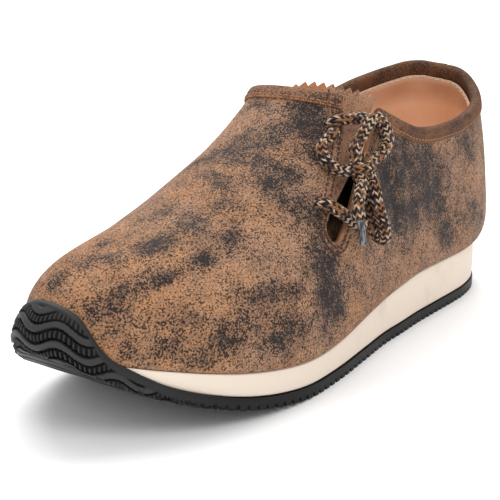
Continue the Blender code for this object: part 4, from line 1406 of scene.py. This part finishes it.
def toe_wall(q, side, rise):
    """Place on the shoe's side at a height over the floor line and the direction out of it: the straight
    side of the sole's layers, then the leather found by halving; the direction turns from level to square."""
    q, side, rise = np.broadcast_arrays(q, side, rise)
    along = station(q)
    centre, half = plan(along)
    want = floor_line(along) + rise
    flat = np.stack([along, centre + side * half, want], -1)

    def leather(t):
        return surface(q, np.where(side > 0, t, np.pi - t))

    def outward(t):
        return normal(q, np.where(side > 0, t, np.pi - t))

    high = first_over(lambda t: leather(t)[..., 2] > want, q.shape, 24)
    point = np.where((want > feather(along) + 0.5)[..., None], leather(high), flat)
    upright = outward(EDGE_RISE) * (1, 1, 0)
    lean = outward(np.maximum(high, EDGE_RISE))
    share = np.clip((want - feather(along)) / LEAN_RUN, 0, 1)[..., None]
    return point, unit(unit(upright) * (1 - share) + lean * share)


def outsole_places():
    """Places and sides round the outline from the heel by the outer side to the toe and back: on the
    corners of the cross ribs to the ball, then evenly and close together round the toe."""
    starts = RIB_START + np.arange(1, int(200 / RIB_PITCH)) * RIB_PITCH
    within = np.array([0, RIB_FLAT / 2, RIB_FLAT, GROOVE_FROM, GROOVE_TO])
    first = np.array([0.0, 0.6, 1.5, 2.5, 2.8, 3.7])
    corners = np.concatenate([first, (starts[:, None] + within).ravel()])
    rear = np.arccos(1 - 2 * corners / LENGTH) / np.pi
    q = np.concatenate([rear, np.linspace(rear[-1], 1, 330)[1:]])
    place = np.concatenate([q, q[::-1][1:-1]])
    return place, np.where(np.arange(len(place)) < len(q), 1.0, -1.0)


def rib_depth(along):
    """Depth of the cross grooves: flat ribs with a trapezium groove behind each."""
    part = ((along - RIB_START) / RIB_PITCH % 1) * RIB_PITCH
    places = [0, RIB_FLAT, GROOVE_FROM, GROOVE_TO, RIB_PITCH]
    groove = np.interp(part, places, [0, 0, 1, 1, 0]) * RIB_DEEP
    return groove + HEEL_BEVEL * np.clip(1 - along / HEEL_BEVEL_RUN, 0, 1) ** 2


def bumper_relief(run, rise, tall, margin):
    """Relief of the bumper from 0 in the grooves to 1 on the ribs: ribs follow a sine wave round the toe,
    every second one is cut by teeth, and a smooth margin runs along the upper edge."""
    wave = BUMPER_WAVE * np.sin(2 * np.pi * (run - BUMPER_PHASE) / BUMPER_WAVELENGTH)
    level = (rise - BUMPER_BASE - wave) / BUMPER_RIB
    number = np.floor(level)
    part = level - number
    rib = soft_step(part, 0.0, 0.2) * (1 - soft_step(part, 0.80, 1.0))
    tooth = soft_step(np.abs(2 * (run / TOOTH_PITCH % 1) - 1), 0.25, 0.75)
    toothed = np.where(number % 2 == 1, 1.0, 0.0)
    rib = rib * (1 - toothed * (0.1 + 0.65 * (1 - tooth)))
    inside = soft_step(tall - rise, margin, margin + LIP_RUN)
    return rib * inside + MARGIN_LEVEL * (1 - inside)


def build_outsole():
    """One closed section carried round the outline: half the ribbed underside, the side or bumper, its
    lip, the inner side and half the top; the halves meet on the middle line."""
    q, side = outsole_places()
    q = q[:, None]
    side = side[:, None]
    along = station(q)
    centre, half = plan(along)
    edge = np.concatenate([along, centre + side * half, 0 * along], 1)
    run = lengths(edge)[:, None]
    run = run - run[np.argmax(along)]
    tall = np.maximum(OUTSOLE_THICK, column(BUMPER, "rise", along))
    thick = np.where(along < BUMPER[1][0], 0.0, column(BUMPER, "thick", along))
    margin = column(BUMPER, "margin", along)
    body = np.clip(thick / 2, 0, 1)
    across = np.linspace(0, 1, 12)
    fade = np.clip(np.minimum(along, LENGTH - along) / WAVE_FADE, 0, 1)
    x = along - fade * RIB_WAVE * np.cos(2 * np.pi * across) * (1 - across ** 2)
    grow = OUTSOLE_FLANGE * np.clip(half / FLANGE_FADE, 0, 1)
    edge_round = EDGE_ROUND + (TIP_ROUND - EDGE_ROUND) * soft_step(along, *TOE_TIP)
    bevel = TOE_BEVEL * np.clip(1 - (LENGTH - along) / TOE_BEVEL_RUN, 0, 1) ** 2
    depth = rib_depth(along) * (1 - TOE_RIB_LOSS * bevel / TOE_BEVEL) + bevel
    under = np.stack([x, centre + side * (half + grow) * across + 0 * x, floor_line(x) + depth], -1)
    share = np.linspace(0, 1, 56) ** 1.1
    foot = depth + EDGE_FOOT
    rise = foot + (tall - foot) * share
    point, out = toe_wall(q, side, rise)
    swell = np.sqrt(1 - (1 - np.clip((rise - foot) / edge_round, 0, 1)) ** 2)
    taper = 1 - BUMPER_TAPER * np.clip(1 - (tall - rise) / BUMPER_TAPER_RUN, 0, 1) * body
    lift = BUMPER_RELIEF * bumper_relief(run, rise, tall, margin) * body
    rounded = 1 - LIP_ROUND * soft_step(rise, tall - LIP_RUN, tall)
    bulge = np.maximum(grow, (SEAT + (thick * swell + lift * np.minimum(1, 1.6 * swell)) * taper) * rounded)
    wall = point + out * bulge[..., None]
    inner_rise = OUTSOLE_THICK + (tall - OUTSOLE_THICK) * np.array([1.0, 0.8, 0.5, 0.2, 0.0])
    point, out = toe_wall(q, side, inner_rise)
    inner = point + out * SEAT
    inset = np.array([0.9, 0.5, 0.0])
    top_z = floor_line(along) + OUTSOLE_THICK
    top = np.stack([along + 0 * inset, centre + side * half * inset, top_z + 0 * inset], -1)
    grid = np.concatenate([under, wall, inner, top], 1)
    rib_height = np.zeros(grid.shape[:2])
    rib_height[:, under.shape[1]:under.shape[1] + wall.shape[1]] = lift / BUMPER_RELIEF
    return new_piece("rubber_outsole", grid.reshape(-1, 3), quads(*grid.shape[:2], close_rows=True),
                     {"rib_height": rib_height.ravel()}, sharp=40)


outsole = build_outsole()
outsole_finish, at, link = new_finish("outsole_rubber", {"Specular IOR Level": 0.15})
dust = at.noise(0.35, 4.0, 0.7)
fine = at.noise(2.0, 2.0)
ground = dust.step(0.45, 0.8).mix(RUBBER, RUBBER_WORN)
# The bumper's raised ribs are lighter than its grooves, the more so the higher they stand
link("Base Color", (at.kept("rib_height") ** 2.0).mix(ground, RUBBER_RIB_TOP))
link("Roughness", 0.38 + fine * 0.15)
link("Normal", relief(fine, 0.06, 0.5))
put_on(outsole, "outsole", outsole_finish, "outsole")

# Lace: one round cord braided from plum, gold and cream yarn; it crosses the slit through both pairs
# of holes, and its knot is drawn tight over the slit between the crossings.
LACE_RADIUS = 2.2
BRAID_STEP = 0.22
BRAID_COLUMNS = 12
BRAID_PITCH = 1.15
BRAID_LEAN = 0.42
BRAID_SINK = 0.34
BRAID_LIFT = 0.46
YARN_DARK = (0.010, 0.006, 0.009)
YARN_PLUM = (0.065, 0.042, 0.052)
YARN_GOLD = (0.34, 0.155, 0.062)
YARN_CREAM = (0.66, 0.48, 0.33)
# Routes on the outer wall: off is the distance of the cord's middle from the leather
BAR_TOP = (
    "along height off",
    (141.1, 89.9, -3.4),
    (141.8, 89.3, 0.6),
    (140.6, 89.1, 2.9),
    (138.0, 89.3, 3.1),
    (134.4, 89.5, 3.2),
    (129.6, 89.4, 3.2),
    (125.0, 87.2, 3.1),
    (121.2, 84.3, 2.8),
    (119.2, 82.6, 0.8),
    (118.9, 82.4, -3.4),
)
BAR_LOW = (
    "along height off",
    (162.1, 64.3, -3.4),
    (162.6, 64.0, 0.8),
    (161.2, 62.6, 2.9),
    (156.3, 58.9, 3.1),
    (151.6, 55.6, 3.0),
    (147.0, 54.1, 2.8),
    (145.0, 53.8, 0.8),
    (144.8, 53.8, -3.4),
)
KNOT_MIDDLE = (142.3, 72.8, 5.6)
KNOT_WIDE = 3.1
KNOT_DEEP = 2.3
KNOT_CLIMB = 3.4
KNOT_TURNS = (-0.175, 1.225)


def smooth_route(table, step):
    """Points at even steps on a smooth curve through a route's rows, and the wall's normal beside them:
    cubic pieces whose slope at a row is half the way between its neighbours."""
    rows = np.array(table[1:], float)
    padded = np.concatenate([2 * rows[:1] - rows[1:2], rows, 2 * rows[-1:] - rows[-2:-1]])
    t = np.linspace(0, 1, 25)[:-1, None]
    pieces = []
    for a, b, c, d in zip(padded, padded[1:], padded[2:], padded[3:]):
        bend = 2 * a - 5 * b + 4 * c - d
        twist = -a + 3 * b - 3 * c + d
        pieces.append(0.5 * (2 * b + (c - a) * t + bend * t * t + twist * t ** 3))
    line = np.concatenate(pieces + [rows[-1:]])
    q, t = wall_place(line[:, 0], line[:, 1])
    out = normal(q, t)
    points = surface(q, t) + line[:, 2:] * out
    run = lengths(points)
    even = np.linspace(0, run[-1], max(4, int(round(run[-1] / step)) + 1))
    return at_lengths(points, run, even), unit(at_lengths(out, run, even))


def new_lace(name, points, up):
    """Tube along points with the look of a round braid: twelve columns of slanting stitches, leaning left
    and right in turn, each a rounded bump in one yarn's colour, and a flat cap on each end."""
    ahead = unit(np.gradient(points, axis=0))
    up = unit(up - ahead * (up * ahead).sum(-1, keepdims=True))
    side = np.cross(ahead, up)
    turn = np.linspace(0, 2 * np.pi, 5 * BRAID_COLUMNS + 1)[:-1]
    place = turn / (2 * np.pi) * BRAID_COLUMNS
    wale = np.floor(place + 1e-6)
    x = 2 * (place - wale) - 1 + 0.2
    lean = np.where(wale % 2 == 0, 1.0, -1.0)
    run = lengths(points)
    level = run[:, None] / BRAID_PITCH + BRAID_LEAN * lean * x + BRAID_LEAN / 2 * lean
    stitch = np.floor(level)
    y = 2 * (level - stitch) - 1
    lift = np.sqrt(np.clip(1 - (0.92 * x) ** 2, 0, 1)) * (1 - np.abs(y) ** 3)
    size = LACE_RADIUS - BRAID_SINK + BRAID_LIFT * lift
    ring = np.cos(turn)[:, None] * side[:, None] + np.sin(turn)[:, None] * up[:, None]
    tube = points[:, None] + size[..., None] * ring
    luck = (np.sin(stitch * 12.9898 + wale * 78.233) * 43758.5453) % 1
    light = np.where(luck < 0.55, 1.0, 0.0)[..., None]
    shadow = np.where(luck < 0.6, 1.0, 0.0)[..., None]
    dark = shadow * np.array(YARN_DARK) + (1 - shadow) * np.array(YARN_PLUM)
    bright = light * np.array(YARN_CREAM) + (1 - light) * np.array(YARN_GOLD)
    lit = ((stitch % 2 == 0) ^ (luck > 0.88)) & (np.abs(y) < 0.85)
    # Painted shade: each stitch is darkened towards its edges, where it dips under its neighbours; the pale and dark
    # stitches themselves are the yarns' colours
    colour = np.where(lit[..., None], bright, dark) * (0.40 + 0.60 * lift[..., None])
    rows, columns = tube.shape[:2]
    faces = quads(rows, columns, close_columns=True).tolist()
    rim = np.arange(columns)
    for number, edge in enumerate((rim, rim + (rows - 1) * columns)):
        faces += np.stack([np.full(columns, rows * columns + number), edge, np.roll(edge, -1)], -1).tolist()
    colour = np.concatenate([colour.reshape(-1, 3), colour[0, :1], colour[-1, :1]])
    colour = np.concatenate([colour, np.ones((len(colour), 1))], 1)
    tube = np.concatenate([tube.reshape(-1, 3), points[:1], points[-1:]])
    return new_piece(name, tube, faces, {"yarn": colour}, sharp=180)


def knot_route():
    """Wrap of the knot: nearly one and a half turns of an ellipse round the bow's middle, climbing evenly."""
    along, height, off = KNOT_MIDDLE
    middle, foot = on_wall([along, along], [height, height], [off, 0.0])
    out = unit(middle - foot)
    level = unit(np.cross((0, 0, 1.0), out))
    up = np.cross(out, level)
    turns = np.linspace(*KNOT_TURNS, 180)[:, None]
    turn = 2 * np.pi * turns
    points = middle + KNOT_WIDE * np.cos(turn) * level + KNOT_DEEP * np.sin(turn) * out
    points = points + KNOT_CLIMB * (turns - 0.5) * up
    return points, np.broadcast_to(up, points.shape)


lace_finish, at, link = new_finish("lace_cord", {
    "Roughness": 0.85,
    "Specular IOR Level": 0.2,
    "Sheen Weight": 0.1,
})
fibre = at.noise(3.0, 2.0)
link("Base Color", (fibre.step(0.25, 0.65) * 0.45 + 0.55).mix((0, 0, 0), at.kept("yarn", "Color")))
link("Normal", relief(fibre, 0.15, 0.5))
for name, route, node in (
    ("braid_bar_top", BAR_TOP, "lace_bar_top"),
    ("braid_bar_low", BAR_LOW, "lace_bar_low"),
):
    points, out = smooth_route(route, BRAID_STEP)
    bar = new_lace(name, points, np.broadcast_to(DOWN_SLIT, points.shape))
    put_on(bar, "lace", lace_finish, node)
points, up = knot_route()
knot = new_lace("braid_knot", points, up)
put_on(knot, "lace", lace_finish, "lace_knot")

# Aglet: a clear plastic sleeve shrunk on the lace's end, with the grey, pressed yarn seen through it;
# it tapers to a small bead at its tip.
AGLET = (
    "along height off",
    (154.5, 56.2, 8.0),
    (156.6, 47.6, 8.0),
)
AGLET_PROFILE = (
    "share radius",
    (0.00, 0.80),
    (0.02, 1.35),
    (0.06, 1.50),
    (0.50, 1.35),
    (0.88, 1.20),
    (0.96, 1.40),
    (1.00, 0.70),
)
AGLET_SIDES = 32
AGLET_DARK = (0.016, 0.014, 0.016)
AGLET_GREY = (0.19, 0.185, 0.19)


def build_aglet():
    """Turned piece: a profile of share along the route and radius, carried round it."""
    line, out = smooth_route(AGLET, 0.5)
    share, radius = np.array(AGLET_PROFILE[1:]).T
    run = lengths(line)
    centre = at_lengths(line, run, share * run[-1])
    ahead = unit(line[-1] - line[0])
    up = unit(out[0] - ahead * (out[0] @ ahead))
    turn = np.linspace(0, 2 * np.pi, AGLET_SIDES + 1)[:-1, None]
    ring = np.cos(turn) * np.cross(ahead, up) + np.sin(turn) * up
    points = centre[:, None] + radius[:, None, None] * ring
    return new_piece("plastic_aglet", points.reshape(-1, 3), tube_faces(len(share), AGLET_SIDES))


aglet = build_aglet()
aglet_finish, at, link = new_finish("aglet_plastic", {
    "Roughness": 0.12,
    "Coat Weight": 0.6,
    "Coat Roughness": 0.05,
})
yarn_seen = at.stretched(1.0, 1.0, 0.18).noise(0.9, 2.0)
link("Base Color", yarn_seen.step(0.40, 0.62).mix(AGLET_DARK, AGLET_GREY))
put_on(aglet, "aglet", aglet_finish, "lace_aglet")

# Bow: the lace's two free runs, tied at the knot and hanging over the slit; the upper one makes the
# front and rear loops, the lower one the long loop and the end that carries the aglet.
BOW_UPPER = (
    "along height off",
    (141.9, 87.0, -1.8),
    (143.4, 85.6, 1.9),
    (145.8, 83.8, 3.0),
    (149.0, 82.3, 2.9),
    (151.6, 80.2, 2.9),
    (153.0, 77.5, 2.9),
    (152.4, 74.9, 2.9),
    (150.4, 73.2, 3.4),
    (147.9, 72.4, 4.6),
    (144.4, 73.4, 5.6),
    (142.6, 78.2, 6.4),
    (139.0, 81.4, 7.4),
    (134.2, 85.6, 8.6),
    (131.4, 87.9, 8.9),
    (129.0, 88.0, 8.9),
    (127.4, 84.2, 8.7),
    (127.9, 79.9, 8.2),
    (131.2, 76.9, 7.2),
    (136.6, 74.2, 6.0),
    (140.0, 73.2, 5.6),
)
BOW_LOWER = (
    "along height off",
    (140.6, 71.4, 5.8),
    (139.7, 67.9, 6.6),
    (141.6, 64.0, 8.0),
    (142.3, 59.6, 8.2),
    (140.4, 52.8, 7.8),
    (138.9, 48.9, 7.4),
    (138.1, 46.9, 5.2),
    (138.6, 49.2, 3.0),
    (139.7, 53.4, 2.8),
    (140.8, 57.5, 2.8),
    (142.0, 63.5, 2.8),
    (143.0, 68.6, 3.4),
    (144.0, 71.0, 4.8),
    (145.2, 67.8, 6.6),
    (149.6, 64.2, 7.4),
    (153.8, 59.4, 8.0),
    (154.4, 56.4, 8.0),
)
for name, route, nodes, far_end, pieces in (
    ("braid_bow_upper", BOW_UPPER, ("lace_loop_front", "lace_strand", "lace_loop_rear"), "object", [knot]),
    ("braid_bow_lower", BOW_LOWER, ("lace_loop_long", "lace_end"), "fitting", [aglet]),
):
    points, out = smooth_route(route, BRAID_STEP)
    bow = new_lace(name, points, out)
    put_on(bow, "lace", lace_finish, *nodes)
    path = (points - MIDDLE) * MM
    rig.cord(bow, exit=path[0], length=lengths(path)[-1], diameter=2 * LACE_RADIUS * MM, far_end=far_end,
            stiffness="limp", lay="loose", path=path[::4].tolist() + [path[-1].tolist()], with_pieces=pieces)

# Camera: the photograph's view, by a long lens in front of the toe's outer side and a little above it,
# fitted to the lines of the sole.
CAMERA_PLACE = (0.37040, 0.26236, 0.15650)
CAMERA_AIM = (0.02340, -0.00433, 0.03994)
CAMERA_LENS = 84.27
CAMERA_SENSOR = 36.0
view = bpy.data.cameras.new("camera")
view.lens = CAMERA_LENS
view.sensor_width = CAMERA_SENSOR
camera = bpy.data.objects.new("camera", view)
bpy.context.scene.collection.objects.link(camera)
camera.location = CAMERA_PLACE
camera.rotation_euler = (Vector(CAMERA_AIM) - camera.location).to_track_quat("-Z", "Y").to_euler()
bpy.context.scene.camera = camera

# Floor and light: white paper in a bright, even studio, with a broad lamp above the shoe and smaller
# ones beside its outer side and before its toe.
FLOOR_HALF = 6.0
FLOOR_WHITE = (0.97, 0.97, 0.97, 1)
STUDIO_LIGHT = 0.80
LIGHTS = (
    "name place size power",
    ("top", (-0.9, -0.9, 2.2), 2.4, 60.0),
    ("front", (0.55, 1.15, 1.6), 0.9, 10.0),
    ("toe", (1.5, -0.2, 1.0), 0.8, 3.0),
)
corner = FLOOR_HALF / MM
floor = new_piece("floor", np.array([(-corner, -corner, FLOOR), (corner, -corner, FLOOR),
                                     (corner, corner, FLOOR), (-corner, corner, FLOOR)]), [(0, 1, 2, 3)])
floor_finish, at, link = new_finish("floor_paper", {"Roughness": 0.9, "Base Color": FLOOR_WHITE})
floor.data.materials.append(floor_finish)
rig.stage(floor)
for name, place, size, power in LIGHTS[1:]:
    lamp = bpy.data.lights.new(name, "AREA")
    lamp.size = size
    lamp.energy = power
    holder = bpy.data.objects.new(name, lamp)
    holder.location = place
    holder.rotation_euler = holder.location.to_track_quat("Z", "Y").to_euler()
    bpy.context.scene.collection.objects.link(holder)
world = bpy.data.worlds.new("studio")
world.use_nodes = True
sky = world.node_tree.nodes["Background"]
sky.inputs["Color"].default_value = (1, 1, 1, 1)
sky.inputs["Strength"].default_value = STUDIO_LIGHT
bpy.context.scene.world = world
bpy.context.scene.view_settings.view_transform = "Standard"

seen_box = [list(corner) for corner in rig.bounds()]
with open("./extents.json", "w") as size_file:
    json.dump({"cad": cad_box, "visual": seen_box}, size_file)
